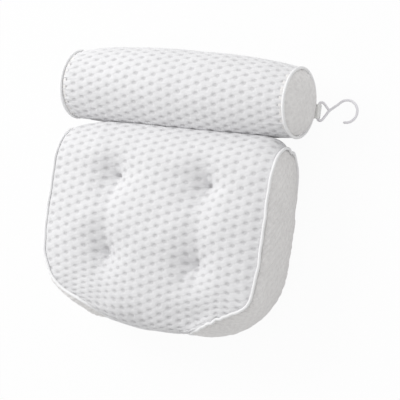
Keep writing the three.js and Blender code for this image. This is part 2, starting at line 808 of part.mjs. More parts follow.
function rollCupPlaces() {
  const x = rollHalfLength - rollCupFromEnd;
  return [
    ["roll_left", -x, rollAxisY],
    ["roll_right", x, rollAxisY],
  ];
}

function cylinderCutter(x, y, radius, lowZ, highZ) {
  const cutter = new THREE.CylinderGeometry(radius, radius, highZ - lowZ, 16);
  cutter.rotateX(quarterTurn);
  cutter.translate(x, y, (lowZ + highZ) / 2);
  return facingOut(cutter);
}

const barrelCutter = (x, y) => cylinderCutter(
  x, y, eyeletBarrelRadius + clearance, -backCrown - cutOverrun, meshThickness,
);

function headPocket(x, y, grip) {
  const top = -backCrown + grip + eyeletFlangeThickness + cupHeadHeight;
  const room = 4 * clearance + fillGap;
  return cylinderCutter(x, y, eyeletFlangeRadius + fillGap, -backCrown - cutOverrun, top + room);
}

// Eyelet: two flanges on a barrel, with the cup's neck through its bore
function eyelet(name, x, y, grip) {
  const bore = cupNeckRadius + neckClearance;
  const innerZ = -backCrown + grip + clearance;
  const profile = [
    [bore, outerFlangeZ - eyeletFlangeThickness],
    [eyeletFlangeRadius, outerFlangeZ - eyeletFlangeThickness],
    [eyeletFlangeRadius, outerFlangeZ],
    [eyeletBarrelRadius, outerFlangeZ],
    [eyeletBarrelRadius, innerZ],
    [eyeletFlangeRadius, innerZ],
    [eyeletFlangeRadius, innerZ + eyeletFlangeThickness],
    [bore, innerZ + eyeletFlangeThickness],
  ];
  profile.push(profile[0]);
  const ring = pieceOf(`eyelet_${name}`, turnedGeometry(profile, 16), eyeletPlastic);
  ring.position.set(x, y, 0);
  return ring;
}

// Suction cup: a hollow bell, a neck and a mushroom head behind the eyelet
function suctionCup(name, x, y, grip) {
  const headZ = -backCrown + grip + eyeletFlangeThickness + 2 * clearance;
  const sealRadius = cupRimRadius - cupSealWidth;
  const bellTop = cupShoulderZ;
  const profile = [
    [0, bellTop - cupWall],
    [cupShoulderRadius, bellTop - cupWall],
    [0.62 * cupRimRadius, cupRimZ + 0.42 * cupHeight],
    [sealRadius, cupRimZ],
    [cupRimRadius, cupRimZ],
    [cupRimRadius, cupRimZ + cupLipThickness],
    [0.8 * cupRimRadius, cupRimZ + 0.46 * cupHeight],
    [0.5 * cupRimRadius, cupRimZ + 0.84 * cupHeight],
    [cupShoulderRadius, bellTop],
    [cupNeckRadius, bellTop],
    [cupNeckRadius, headZ],
    [cupHeadRadius, headZ],
    [0.7 * cupHeadRadius, headZ + cupHeadHeight],
    [0, headZ + cupHeadHeight],
  ];
  const bell = toSolid(turnedGeometry(profile, 20));
  const length = cupTongueLength + cupSealWidth / 2;
  const tongue = new THREE.BoxGeometry(length, cupTongueWidth, cupLipThickness);
  tongue.translate(cupRimRadius - cupSealWidth / 2 + length / 2, 0, cupRimZ + cupLipThickness / 2);
  const geometry = toGeometry(bell.add(toSolid(facingOut(tongue))));
  const cup = pieceOf(`suction_cup_${name}`, geometry, cupPlastic);
  cup.position.set(x, y, 0);
  return cup;
}

// Webbing tab: folded round the hook's bar, with its ends at the roll's seam
const tabCentreX = rollHalfLength + tabReach;
const tabCentreZ = -(rollEndRadius - tabRise);

function hookTab() {
  const inner = wireRadius + clearance;
  const outer = inner + tabThickness;
  const start = pipingRadius + clearance - tabReach;
  const turn = Math.asin(tabThickness / outer);
  const loop = new THREE.Shape();
  loop.moveTo(start, tabThickness);
  loop.lineTo(-outer * Math.cos(turn), tabThickness);
  for (const part of steps(12)) {
    const angle = Math.PI - turn - part * 2 * (Math.PI - turn);
    loop.lineTo(outer * Math.cos(angle), outer * Math.sin(angle));
  }
  loop.lineTo(start, -tabThickness);
  loop.holes.push(roundHole(inner));
  const options = { depth: tabWidth, bevelEnabled: false };
  const geometry = new THREE.ExtrudeGeometry(loop, options);
  geometry.translate(0, 0, -tabWidth / 2);
  geometry.rotateX(quarterTurn);
  const tab = pieceOf("hook_tab", facingOut(geometry), pipingWhite);
  tab.position.set(tabCentreX, -tabBelowAxis, tabCentreZ);
  return tab;
}

function roundHole(radius) {
  const hole = new THREE.Path();
  const turn = 4 * quarterTurn;
  hole.moveTo(radius, 0);
  for (const part of steps(12).slice(1, -1)) {
    hole.lineTo(radius * Math.cos(part * turn), radius * Math.sin(part * turn));
  }
  return hole;
}

// Points of an arc in the hook's plane, between two angles counted in quarter turns
function arcPoints(x, y, radius, from, to, count) {
  return steps(count).map((part) => {
    const angle = (from + part * (to - from)) * quarterTurn;
    return new THREE.Vector3(x + radius * Math.cos(angle), y + radius * Math.sin(angle), 0);
  });
}

// Hook: one wire, from a triangular eye over a short shank into an open hook
function hook() {
  const bend = eyeBendRadius;
  const corner = eyeHalfWidth - bend;
  const meeting = new THREE.Vector3(eyeLength, eyeShankRise, 0);
  const upper = [
    meeting,
    ...arcPoints(eyeSideLength, corner, bend, 0.55, 1, 2),
    ...arcPoints(bend, corner, bend, 1, 2, 3),
    new THREE.Vector3(0, -wireRadius, 0),
  ];
  const whole = [
    new THREE.Vector3(0, wireRadius, 0),
    ...arcPoints(bend, -corner, bend, 2, 3, 3),
    ...arcPoints(eyeSideLength, -corner, bend, 3, 3.5, 2),
    meeting,
    ...arcPoints(hookCentreOut, hookCentreRise, hookCircleRadius, 1.6, -1.05, 18),
  ];
  const arm = toSolid(tubeGeometry(upper, wireRadius * 0.98, wireSides, false));
  const wire = toSolid(tubeGeometry(whole, wireRadius, wireSides, false));
  const piece = pieceOf("hook", toGeometry(wire.add(arm)), hookPlastic);
  piece.position.set(tabCentreX, -tabBelowAxis, tabCentreZ);
  return piece;
}

function cushionGroup() {
  const group = new THREE.Group();
  group.add(frontCover(), backPanel(), cushionCore(), cushionFlap());
  for (const [name, side] of [["left", -1], ["right", 1]]) {
    group.add(sidePanel(`side_panel_${name}`, side));
    group.add(sidePiping(`side_piping_${name}`, side));
  }
  for (const [name, x, y] of tufts) group.add(tuftStitch(name, x, y));
  for (const [name, x, y] of cushionCupPlaces()) {
    group.add(eyelet(name, x, y, backThickness));
    group.add(suctionCup(name, x, y, backThickness));
  }
  return group;
}

function rollGroup() {
  const group = new THREE.Group();
  group.add(rollCover(), rollCore(), rollFlap(), hookTab(), hook());
  for (const [name, side] of [["left", -1], ["right", 1]]) {
    group.add(rollEndPanel(`roll_end_panel_${name}`, side));
    group.add(rollPiping(`roll_piping_${name}`, side));
  }
  group.position.set(0, rollAxisY, rollAxisZ);
  return group;
}

function rollCupsGroup() {
  const group = new THREE.Group();
  for (const [name, x, y] of rollCupPlaces()) {
    group.add(eyelet(name, x, y, rollGrip()));
    group.add(suctionCup(name, x, y, rollGrip()));
  }
  return group;
}

const pillow = new THREE.Group();
pillow.add(cushionGroup(), rollGroup(), rollCupsGroup());

// The origin is under the middle of the whole part, in the plane of the rims
pillow.updateMatrixWorld(true);
const extent = new THREE.Box3().setFromObject(pillow, true);
const middle = extent.getCenter(new THREE.Vector3());
pillow.position.set(-middle.x, -middle.y, -extent.min.z);

export default pillow;
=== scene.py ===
"""Bath pillow: dresses the packed model with mesh fabric, piping, webbing and moulded pieces."""

import math

import bmesh
import bpy
import numpy as np
from bpy.props import FloatProperty, FloatVectorProperty, PointerProperty
from mathutils import Matrix, Vector


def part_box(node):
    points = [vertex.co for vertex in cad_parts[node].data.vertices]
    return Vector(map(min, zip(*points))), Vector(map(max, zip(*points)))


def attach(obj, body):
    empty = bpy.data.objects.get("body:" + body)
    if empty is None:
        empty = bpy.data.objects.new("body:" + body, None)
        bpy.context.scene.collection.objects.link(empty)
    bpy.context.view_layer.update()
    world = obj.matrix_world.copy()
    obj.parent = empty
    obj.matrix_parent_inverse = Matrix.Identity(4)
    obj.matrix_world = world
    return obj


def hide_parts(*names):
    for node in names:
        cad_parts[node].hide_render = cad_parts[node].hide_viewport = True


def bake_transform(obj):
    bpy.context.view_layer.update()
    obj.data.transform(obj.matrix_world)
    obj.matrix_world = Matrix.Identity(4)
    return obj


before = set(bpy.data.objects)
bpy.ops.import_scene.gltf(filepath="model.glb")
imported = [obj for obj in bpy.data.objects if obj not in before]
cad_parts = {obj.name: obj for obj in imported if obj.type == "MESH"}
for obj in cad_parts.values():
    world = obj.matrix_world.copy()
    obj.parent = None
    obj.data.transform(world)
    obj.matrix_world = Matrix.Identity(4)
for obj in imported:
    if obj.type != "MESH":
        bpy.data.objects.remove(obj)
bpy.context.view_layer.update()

bl_info = {
    "name": "Bath pillow",
    "version": (1, 0, 0),
    "blender": (4, 5, 0),
    "location": "3D View > Sidebar > Pillow",
    "description": "Builds a bath pillow: neck roll, tufted cushion, hook and suction cups",
    "category": "Object",
}

MM = 0.001
UP_AXIS = np.array([0.0, 0.0, 1.0])
SIDES = (("left", -1), ("right", 1))
TUFT_NAMES = ("upper_left", "upper_right", "lower_left", "lower_right")
CUP_NAMES = TUFT_NAMES + ("roll_left", "roll_right")

# Soft waves of each kind of piece: height, size, and the seed of their random draw. The
# height is in metres, but for the ribs it is an angle, and for the cords a share of a radius.
WAVES = {
    "cover": (0.0007, 0.05, 3),
    "side": (0.0006, 0.045, 7),
    "rib": (0.8, 0.03, 19),
    "back": (0.0005, 0.05, 9),
    "seam": (0.0007, 0.035, 23),
    "roll": (0.0006, 0.06, 5),
    "end": (0.0006, 0.04, 13),
    "side_cord": (0.03, 0.02, 11),
    "roll_cord": (0.03, 0.02, 12),
}

# Dots and the puffed cloth between them: start and width of a slope, in half sizes of a dot
DOT_SLOPE = (0.35, 0.95)
PUFF, PUFF_SLOPE = 0.14, (1, 1.6)

# Where the filled cushion settles, in metres on its plan: start and width of a step
LOWER_CORNERS, LOWER_EDGE = (0.055, 0.06), (0.1, 0.07)
ABOVE_TIP, UPPER_HALF, PANEL_TOP = (-0.165, 0.05), (0.02, 0.06), (0.08, 0.01)
LEFT_HALF, RIGHT_HALF, RIGHT_RIM = (0.0, 0.12), (0.04, 0.11), (0.1, 0.06)
PANEL_RIM, SIDE_RIM, BACK_RIM = (0.15, 0.015), (0.14, 0.03), (0.12, 0.04)
FRONT_HALF, BEHIND = (0.05, 0.05), 0.06

# Centre and reach of a bell curve there, and the way that two of them move the cloth
HANGING, HELD, NOTCH_HEIGHT = (0.095, 0.045), (-0.1, 0.05), (0.04, 0.006)
PUSHED_CORNER, PUSH_WAY = ((0.158, -0.120), 0.023), (0.85, -0.5)
DRAWN_CHORD, CHORD_WAY = ((-0.098, -0.158), 0.045), (0.3, 0.95)
DRAWN_RUN = ((0.112, -0.152), 0.03)
RIPPLES = ((0.0009, 0.0115), (0.0006, 0.019))

# The cushion's tufts, valleys, hollow and top
CREASE_RADIUS = 0.016
HOLLOW_X, HOLLOW_TOP = 0.07, (0.122, 0.045)
VALLEY_BELOW, VALLEY_ABOVE, VALLEY_EASE = 0.06, 0.05, 0.05
TUFT_EDGE = 0.025
PRESS_ANGLE, PRESS_LOSS, PRESS_FADE = (0.45, 0.3), 0.45, (0.05, 0.08)
DIMPLE_DEPTH, DIMPLE_REACH = 0.0035, 0.007

# Seams, side panels and stitches
PUCKER_REACH, COVER_FADE, PANEL_FADE, PANEL_DRAW = 0.009, 0.004, 0.003, 1.6
FULLNESS, RIB_SLANT = 0.7, (0.78, 0.62)
SEAM_RADIUS = 0.9 * MM
THREAD, STITCH_HALF, STITCH_RISE = 0.5 * MM, 2.4 * MM, 1.4 * MM
STITCHES = ((0.4, 0.0), (1.9, 0.6 * MM))
KNOT_RADIUS, KNOT_FALL = 1.5 * MM, 0.6 * MM

# Roll, flap, hook and tab
ROLL_RISE, ROLL_GAP = 0.8 * MM, 0.4 * MM
EYELET_PLANE, EYELET_REACH = 8.6 * MM, 16 * MM
FLAP_GAP = 0.35 * MM
BAR_OUT = 7.3 * MM
EYE_BEND, EYE_SIDE, EYE_HALF, EYE_LAP = 2.6 * MM, 5 * MM, 13.1 * MM, 0.2 * MM
EYE_MEETING = (16.3 * MM, 2.7 * MM, 0)
HOOK_CENTRE, HOOK_RADIUS, HOOK_TURNS = (42.7 * MM, 3.9 * MM), 16 * MM, (1.6, -1.05)
TAB_THICKNESS, TAB_GAP, TAB_SPREAD, TAB_START = 1.6 * MM, 0.15 * MM, 0.6 * MM, -9 * MM
TAB_WRAP, TAB_EDGE, TAB_RIB, TAB_RIBS = 0.86, 0.03, 0.22 * MM, 8

# Stage: the camera's place is on the cushion's own plan
CAMERA_TOWARDS = (0.43525849, -0.02957177, 0.89981973)
CAMERA_UP = (-0.10794637, 0.99053615, 0.08476862)
CAMERA_PLACE, CAMERA_LENS = (1.18137, -0.06450, 2.40050), 165.84
LAMP_TOWARDS, LAMP_DISTANCE, LAMP_SIZE, LAMP_ENERGY = (-0.53, 0.36, 0.77), 2.0, 1.0, 17.0
SKY_LEVEL, SKY_GAINS = 0.84, {"X": -0.06, "Y": 0.08, "Z": -0.23}
FLOOR_GLOW = 0.95


# Settings


def length(name, words, default):
    """A length setting in metres."""
    return FloatProperty(name=name, description=words, default=default, unit="LENGTH", precision=4)


def colour(name, words, default):
    """A colour setting."""
    return FloatVectorProperty(
        name=name, description=words, default=default, size=3, min=0, max=1, subtype="COLOR"
    )


class PillowCushionSizes(bpy.types.PropertyGroup):
    """Sizes of the back cushion."""

    half_width: length("Half width", "From the middle to the side seam", 0.1705)
    thickness: length("Thickness", "Between the front and back seams", 0.102)
    top_y: length("Top", "Height of the rounded top over the cushion's datum", 0.094)
    bottom_y: length("Bottom", "Height of the lowest seam over the cushion's datum", -0.1805)
    bow_depth: length("Bow depth", "Depth of the rounded lower end", 0.096)
    panel_tip_x: length("Panel tip", "Distance of a side panel's lower tip from the middle", 0.062)
    corner_roll: length("Corner roll", "Length over which the wall rolls under", 0.096)
    front_crown: length("Front crown", "Rise of the front over its seams", 0.014)
    end_crown: length("End crown", "Rise of the front at its upper and lower ends", 0.006)
    top_crown: length("Top crown", "Rise of the top between its corners", 0.011)
    top_fill: length("Top fill", "How much further the filled top swells towards the roll", 0.0022)
    top_press: length("Top press", "How far the top's upper half is pressed up to the roll", 0.009)
    hollow_depth: length("Hollow depth", "Depth of the hollow above the lower right seam", 0.0145)
    hollow_half: length("Hollow half width", "Half width of that hollow", 0.045)
    back_crown: length("Back crown", "Rise of the back panel", 0.0083)
    back_slope: length("Back slope", "Width of the back panel's sloping rim", 0.022)
    side_swell: length("Side swell", "Rise of the side panels", 0.0025)
    low_swell: length("Low swell", "How much further the left panel bulges low down", 0.0090)
    chord_pull: length("Chord pull", "How far the lower left front seam is drawn in", 0.0085)
    right_swell: length("Right swell", "How much further the right panel bulges all over", 0.0105)
    back_inset: length("Back inset", "How far the right panel's back seam is drawn in", 0.0025)
    tuft_x: length("Tuft place", "Distance of a tuft from the middle", 0.0714)
    tuft_upper_y: length("Upper tufts", "Height of the upper tufts", 0.0311)
    tuft_lower_y: length("Lower tufts", "Height of the lower tufts", -0.0789)
    bowl_depth: length("Bowl depth", "Depth of a tuft's wide bowl", 0.0155)
    bowl_radius: length("Bowl radius", "Reach of a tuft's wide bowl", 0.032)
    pit_depth: length("Pit depth", "Depth of a tuft's narrow pit", 0.015)
    pit_radius: length("Pit radius", "Reach of a tuft's narrow pit", 0.0075)
    valley_depth: length("Valley depth", "Depth of the valleys through the tufts", 0.0035)
    valley_width: length("Valley width", "Reach of the valleys through the tufts", 0.017)
    crease: length("Crease height", "Height of the creases that run into a tuft", 0.0005)
    low_left_pull: length("Lower left pull", "How far the lower left corner is drawn in", 0.0072)
    low_right_pull: length("Lower right pull", "How far the lower right corner is drawn in", 0.0045)
    low_sag: length("Lower sag", "How far the lower edge hangs right of its middle", 0.0038)
    top_right_lift: length("Upper right lift", "How far the upper right corner rises", 0.0045)
    notch: length("Notch", "Depth of the tuck at a side panel's upper end", 0.0035)
    corner_push: length("Corner push", "How far the filling pushes out the lower right", 0.009)
    run_pull: length("Run pull", "How far the lower right seam is drawn up", 0.006)


class PillowRollSizes(bpy.types.PropertyGroup):
    """Sizes of the neck roll, its flap, hook and cups."""

    radius: length("Radius", "Radius of the roll in its middle", 0.0575)
    half_length: length("Half length", "From the middle to an end seam", 0.1752)
    end_high: length("End height", "Radius of an end seam up and down", 0.0482)
    mid_high: length("Middle height", "Radius of the middle up and down", 0.0585)
    end_deep: length("End depth", "Radius of an end seam front to back", 0.0562)
    sag_left: length("Left sag", "How far the left end hangs", 0.0035)
    sag_right: length("Right sag", "How far the right end hangs", 0.001)
    dome: length("Dome", "Rise of the end panels", 0.0125)
    flap_half: length("Flap half width", "From the middle to the flap's edge", 0.105)
    flap_thickness: length("Flap thickness", "Thickness of the folding flap", 0.0012)
    flap_lap: length("Flap lap", "How far the flap laps onto the roll", 0.014)
    fold_y: length("Fold", "Height of the fold over the cushion's datum", 0.1)
    wire: length("Wire radius", "Radius of the hook's wire", 0.0019)
    tab_width: length("Tab width", "Width of the hook's webbing tab", 0.0204)
    cup_radius: length("Cup radius", "Radius of a suction cup's rim", 0.026)
    cup_height: length("Cup height", "Height of a suction cup's bell", 0.0115)


class PillowFabricSizes(bpy.types.PropertyGroup):
    """Sizes of the fabrics' weaves, seams and piping."""

    piping: length("Piping radius", "Radius of the piping", 0.0022)
    tuck: length("Seam tuck", "How far a cover's edge stays inside its seam line", 0.0008)
    draw: length("Seam draw", "How far a cover dips where it meets its piping", 0.0020)
    draw_reach: length("Seam draw reach", "How far from a seam a cover starts to dip", 0.0035)
    hem: length("Hem", "How far a cover's edge turns in behind the piping", 0.004)
    pucker: length("Pucker height", "Height of the puckers along the seams", 0.0006)
    pucker_pitch: length("Pucker pitch", "Distance between two puckers", 0.0125)
    cushion_column: length("Cushion dot columns", "Distance between two columns of dots", 0.0146)
    cushion_row: length("Cushion dot rows", "Distance between two dots of a column", 0.0133)
    roll_column: length("Roll dot columns", "Distance between two columns of dots", 0.0141)
    roll_row: length("Roll dot rows", "Distance between two dots of a column", 0.0139)
    dot_across: length("Dot width", "Half width of a dot", 0.0048)
    dot_along: length("Dot height", "Half height of a dot", 0.0034)
    dot_depth: length("Dot depth", "How deep the dots are sunk", 0.0014)
    quilt: length("Quilting height", "Height of the mottling on the plain panels", 0.0003)
    quilt_pitch: length("Quilting pitch", "Size of the mottling on the plain panels", 0.012)
    eye_column: length("Panel eye columns", "Distance between two columns of eyes", 0.0075)
    eye_row: length("Panel eye rows", "Distance between two eyes of a column", 0.0128)
    eye_size: length("Panel eye size", "Half size of an eye of the panels", 0.0036)
    eye_depth: length("Panel eye depth", "How deep the panels' eyes are sunk", 0.0006)
    rib_pitch: length("Panel rib pitch", "Distance between a side panel's slanting ribs", 0.0067)
    rib_height: length("Panel rib height", "Height of those ribs", 0.0006)


class PillowColours(bpy.types.PropertyGroup):
    """Colours of the pillow's fabrics and mouldings."""

    mesh: colour("Mesh", "Colour of the mesh fabric", (0.895, 0.893, 0.905))
    # painted shade: the darker colour inside the mesh's dots, cells and rib grooves stands for the
    # shade in their depth
    mesh_shade: colour("Mesh dots", "Colour inside the dots of the mesh", (0.610, 0.606, 0.616))
    plain: colour("Plain fabric", "Colour of the end and side panels", (0.945, 0.930, 0.918))
    # painted shade: the weave's hollows and the panels' eyes are darkened to this colour, which
    # also tints the random mottling
    plain_dark: colour("Plain fabric shade", "Colour of the weave's hollows", (0.810, 0.793, 0.785))
    piping: colour("Piping", "Colour of the piping", (0.985, 0.985, 0.990))
    thread: colour("Thread", "Colour of the stitches", (0.620, 0.610, 0.620))
    webbing: colour("Webbing", "Colour of the hook's tab", (0.990, 0.990, 0.975))
    wire: colour("Wire", "Colour of the coated hook", (0.880, 0.865, 0.900))
    vinyl: colour("Vinyl", "Colour of the suction cups", (0.800, 0.860, 0.880))
    eyelet: colour("Eyelets", "Colour of the moulded eyelets", (0.820, 0.820, 0.820))
    floor: colour("Floor", "Colour of the floor", (0.80, 0.80, 0.80))


# Curves, grids and meshes


def smooth(v):
    """Three times the square less twice the cube, of a value held between 0 and 1."""
    v = np.clip(v, 0, 1)
    return v * v * (3 - 2 * v)


def step(value, start, width):
    """A smooth step: 0 up to a start, and 1 from a width further on."""
    return smooth((value - start) / width)


def bell(value, centre, reach):
    """A bell curve: e to the negative square of the distance over the reach."""
    return np.exp(-(((value - centre) / reach) ** 2))


def round_bell(x, y, spot, reach):
    """A bell curve of the distance from a spot of the plan."""
    return bell(x, spot[0], reach) * bell(y, spot[1], reach)


def noise(points, scale, seed):
    """Soft waves: a quarter of the sum of six sines in fixed random directions."""
    rng = np.random.default_rng(seed)
    directions = rng.normal(size=(6, 3))
    directions /= np.linalg.norm(directions, axis=1, keepdims=True)
    phases = rng.uniform(0, 2 * np.pi, 6)
    turns = rng.uniform(0.7, 1.4, 6) * 2 * np.pi / scale
    return sum(np.sin((points @ d) * w + p) for d, w, p in zip(directions, turns, phases)) / 4


def waves(points, kind):
    """Unevenness of one kind of piece, as soft waves."""
    height, size, seed = WAVES[kind]
    return height * noise(points, size, seed)


def lattice(u, v, column, row, across, along):
    """Depth of a staggered lattice of oval dots: 1 at a dot's centre and 0 outside it.

    The dots stand in columns, and every second column is shifted by half a row. The
    cloth between them is puffed: it rises a little with the distance from a dot.
    """
    nearest = np.inf
    for k in (0, 1):
        x = (u - k * column + column) % (2 * column) - column
        y = (v - k * row / 2 + row / 2) % row - row / 2
        nearest = np.minimum(nearest, np.hypot(x / across, y / along))
    return 1 - step(nearest, *DOT_SLOPE) - PUFF * step(nearest, *PUFF_SLOPE)


def grid(*values):
    """A grid of points, or of places on a map, from values that broadcast to one shape."""
    return np.stack(np.broadcast_arrays(*values), -1)


def unit(vectors):
    """Vectors at length 1."""
    return vectors / np.linalg.norm(vectors, axis=-1, keepdims=True)


def circle(steps):
    """Angles of even steps round a circle."""
    return np.linspace(0, 2 * np.pi, steps, endpoint=False)


def grid_normals(points, direction):
    """Unit normals of a grid: the cross product of its central differences.

    They are turned so that the grid's middle looks in a direction.
    """
    normal = np.cross(np.gradient(points, axis=1), np.gradient(points, axis=0))
    normal /= np.maximum(np.linalg.norm(normal, axis=-1, keepdims=True), 1e-12)
    middle = normal[len(points) // 2, points.shape[1] // 2]
    return normal if middle.dot(direction) > 0 else -normal


def eased(line, times, closed=False):
    """A line averaged with its neighbours in the ratio 1, 2, 1. An open one keeps its ends."""
    for _ in range(times):
        mean = (np.roll(line, 1, 0) + 2 * line + np.roll(line, -1, 0)) / 4
        line = mean if closed else np.concatenate([line[:1], mean[1:-1], line[-1:]], 0)
    return line


def blurred(values, times):
    """A grid eased along and across in turn, with its rim held."""
    for _ in range(times):
        values = eased(eased(values, 1).swapaxes(0, 1), 1).swapaxes(0, 1)
    return values


def distance_along(points, axis):
    """Cumulative length of a grid's lines along an axis, starting at zero."""
    lengths = np.linalg.norm(np.diff(points, axis=axis), axis=-1)
    pad = [(1, 0), (0, 0)] if axis == 0 else [(0, 0), (1, 0)]
    return np.pad(np.cumsum(lengths, axis=axis), pad)


def from_rim(points, axis):
    """Distance along a grid's lines from the nearer of their two ends."""
    along = distance_along(points, axis)
    return np.minimum(along, along.take([-1], axis) - along)


def hemmed(points, inner, uv, axes=(0, 1)):
    """A grid and its map with one more line on each side, turned in to an inner grid's rim."""
    for axis in axes:
        first, last = inner.take([0], axis), inner.take([-1], axis)
        points = np.concatenate([first, points, last], axis)
        inner = np.concatenate([first, inner, last], axis)
        uv = np.pad(uv, [(1, 1) if k == axis else (0, 0) for k in range(3)], mode="edge")
    return points, uv


def patch(points, uv=None, wrap_rows=False, wrap_columns=False, flip=False):
    """One grid of a piece, with its map in metres, and whether it closes on itself.

    Where no map is given, it is the distance across and along.
    """
    if uv is None:
        uv = np.stack([distance_along(points, 1), distance_along(points, 0)], -1)
        if wrap_columns:
            uv = np.concatenate([uv, uv[:, :1]], 1)
            uv[:, -1, 0] = uv[:, -2, 0] + (uv[:, 1, 0] - uv[:, 0, 0])
    return {"points": points, "uv": uv, "wrap": (wrap_rows, wrap_columns), "flip": flip}


def patch_faces(p):
    """Vertex numbers of a patch's faces, one for each cell, and its corners' places on the map."""
    rows, columns = p["points"].shape[:2]
    wrap_rows, wrap_columns = p["wrap"]
    i = np.arange(rows if wrap_rows else rows - 1)[:, None]
    j = np.arange(columns if wrap_columns else columns - 1)[None, :]
    corners = [(i, j), (i, j + 1), (i + 1, j + 1), (i + 1, j)]
    if p["flip"]:
        corners.reverse()
    faces = grid(*((a % rows) * columns + (b % columns) for a, b in corners))
    width = p["uv"].shape[1]
    spots = grid(*(a * width + b for a, b in corners))
    return faces.reshape(-1, 4), p["uv"].reshape(-1, 2)[spots.reshape(-1)]


def make_piece(name, patches, material, weld=0.0):
    """A mesh object from patches, whose rims are joined where a distance is given."""
    vertices, faces, maps, start = [], [], [], 0
    for p in patches:
        cells, places = patch_faces(p)
        faces.append(cells + start)
        maps.append(places)
        vertices.append(p["points"].reshape(-1, 3))
        start += len(vertices[-1])
    vertices, faces, maps = map(np.concatenate, (vertices, faces, maps))
    mesh = bpy.data.meshes.new(name)
    mesh.vertices.add(len(vertices))
    mesh.vertices.foreach_set("co", vertices.astype(np.float32).ravel())
    mesh.loops.add(faces.size)
    mesh.loops.foreach_set("vertex_index", faces.astype(np.int32).ravel())
    mesh.polygons.add(len(faces))
    mesh.polygons.foreach_set("loop_start", np.arange(0, faces.size, 4, dtype=np.int32))
    mesh.polygons.foreach_set("loop_total", np.full(len(faces), 4, np.int32))
    mesh.polygons.foreach_set("use_smooth", np.ones(len(faces), bool))
    layer = mesh.uv_layers.new(name="weave")
    layer.data.foreach_set("uv", maps.astype(np.float32).ravel())
    mesh.update(calc_edges=True)
    mesh.validate()
    piece = bpy.data.objects.new(name, mesh)
    bpy.context.scene.collection.objects.link(piece)
    mesh.materials.append(material)
    if weld:
        face_out(piece, weld)
    return piece


def face_out(piece, weld=0.0):
    """Points a closed piece's faces outwards, once its rims are joined within a distance."""
    work = bmesh.new()
    work.from_mesh(piece.data)
    if weld:
        bmesh.ops.remove_doubles(work, verts=work.verts, dist=weld)
    bmesh.ops.recalc_face_normals(work, faces=work.faces)
    work.to_mesh(piece.data)
    work.free()


def face_vectors(piece, key):
    """A vector of each face of a piece, by the name of its attribute."""
    polygons = piece.data.polygons
    values = np.zeros(len(polygons) * 3, np.float32)
    polygons.foreach_get(key, values)
    return values.reshape(-1, 3)


def outward(piece, out):
    """Turns a sheet's faces round where most look away from a direction, or from one each."""
    if (face_vectors(piece, "normal") * out).sum() < 0:
        piece.data.flip_normals()


def place(piece, body, slot, *nodes):
    """Puts a finished piece on its body, in place of its solids."""
    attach(piece, body)
    if nodes:
        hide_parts(*nodes)


def square_to(tangent):
    """A unit vector square to a tangent, from an axis that isn't in line with it."""
    axis = UP_AXIS if abs(tangent[2]) < 0.8 else np.array([1.0, 0.0, 0.0])
    return unit(np.cross(axis, tangent))


def tube(path, radius, sides, pitch=None):
    """A round tube: a circle carried along a path with the least twist.

    The frame at each point is the one before, turned to stay square to the path. With
    a pitch the path is closed: the twist that is left over is spread evenly, and the
    map holds a whole number of pitches.
    """
    count = len(path)
    if pitch:
        tangent = unit(np.roll(path, -1, 0) - np.roll(path, 1, 0))
    else:
        tangent = unit(np.gradient(path, axis=0))
    normal = np.zeros_like(path)
    normal[0] = square_to(tangent[0])
    for k in range(1, count):
        normal[k] = unit(normal[k - 1] - tangent[k] * normal[k - 1].dot(tangent[k]))
    binormal = np.cross(tangent, normal)
    lengths = np.linalg.norm(np.diff(np.vstack([path, path[:1]]), axis=0), axis=1)
    along = np.concatenate([[0], np.cumsum(lengths)])
    twist = 0.0
    if pitch:
        back = normal[-1] - tangent[0] * normal[-1].dot(tangent[0])
        twist = math.atan2(back.dot(binormal[0]), back.dot(normal[0]))
        along *= round(along[-1] / pitch) * pitch / along[-1]
    else:
        along = along[:-1]
    angle = circle(sides)[None, :] - twist * np.arange(count)[:, None] / count
    ring = normal[:, None] * np.cos(angle)[..., None] + binormal[:, None] * np.sin(angle)[..., None]
    sizes = np.broadcast_to(np.asarray(radius, float), (count,))[:, None, None]
    around = np.linspace(0, 2 * np.pi * float(np.mean(radius)), sides + 1)
    uv = grid(around[None, :], along[:, None])
    return patch(path[:, None] + ring * sizes, uv, wrap_rows=bool(pitch), wrap_columns=True)


def tube_tip(path, radius, sides, at_end):
    """A rounded tip for an open tube: rings of a quarter circle, shrinking along the path."""
    ends = path[-2:] if at_end else path[1::-1]
    tangent = unit(ends[1] - ends[0])
    normal = square_to(tangent)
    binormal = np.cross(tangent, normal)
    turn = np.linspace(0, np.pi / 2, 5)[:, None, None]
    angle = circle(sides)[None, :, None]
    ring = normal * np.cos(angle) + binormal * np.sin(angle)
    points = ends[1] + radius * (np.cos(turn) * ring + np.sin(turn) * tangent)
    return patch(points, wrap_columns=True)


def rod(path, radius, sides, tips=(False, True)):
    """An open tube with rounded tips: False is the one at its start, and True at its end."""
    return [tube(path, radius, sides)] + [tube_tip(path, radius, sides, end) for end in tips]


def make_cord(name, line, path, kind):
    """Piping along a closed path, with a radius that varies a little along its line."""
    radius = bpy.context.scene.pillow_fabric.piping * (1 + waves(line, kind))
    piece = make_piece(name, [tube(path, radius, 14, pitch=2 * MM)], piping_material())
    face_out(piece)
    return piece


def band(loop, across):
    """A band from a closed loop of rows that runs out on one face and back on the other.

    Its two edges are closed by caps between the faces.
    """
    half = len(loop) // 2
    uv = grid(across, distance_along(loop, 0))
    patches = [patch(loop, np.concatenate([uv, uv[:1]], 0), wrap_rows=True)]
    for column in (0, -1):
        edge = loop[:, column]
        patches.append(patch(np.stack([edge[:half], edge[half:][::-1]], 1)))
    return patches


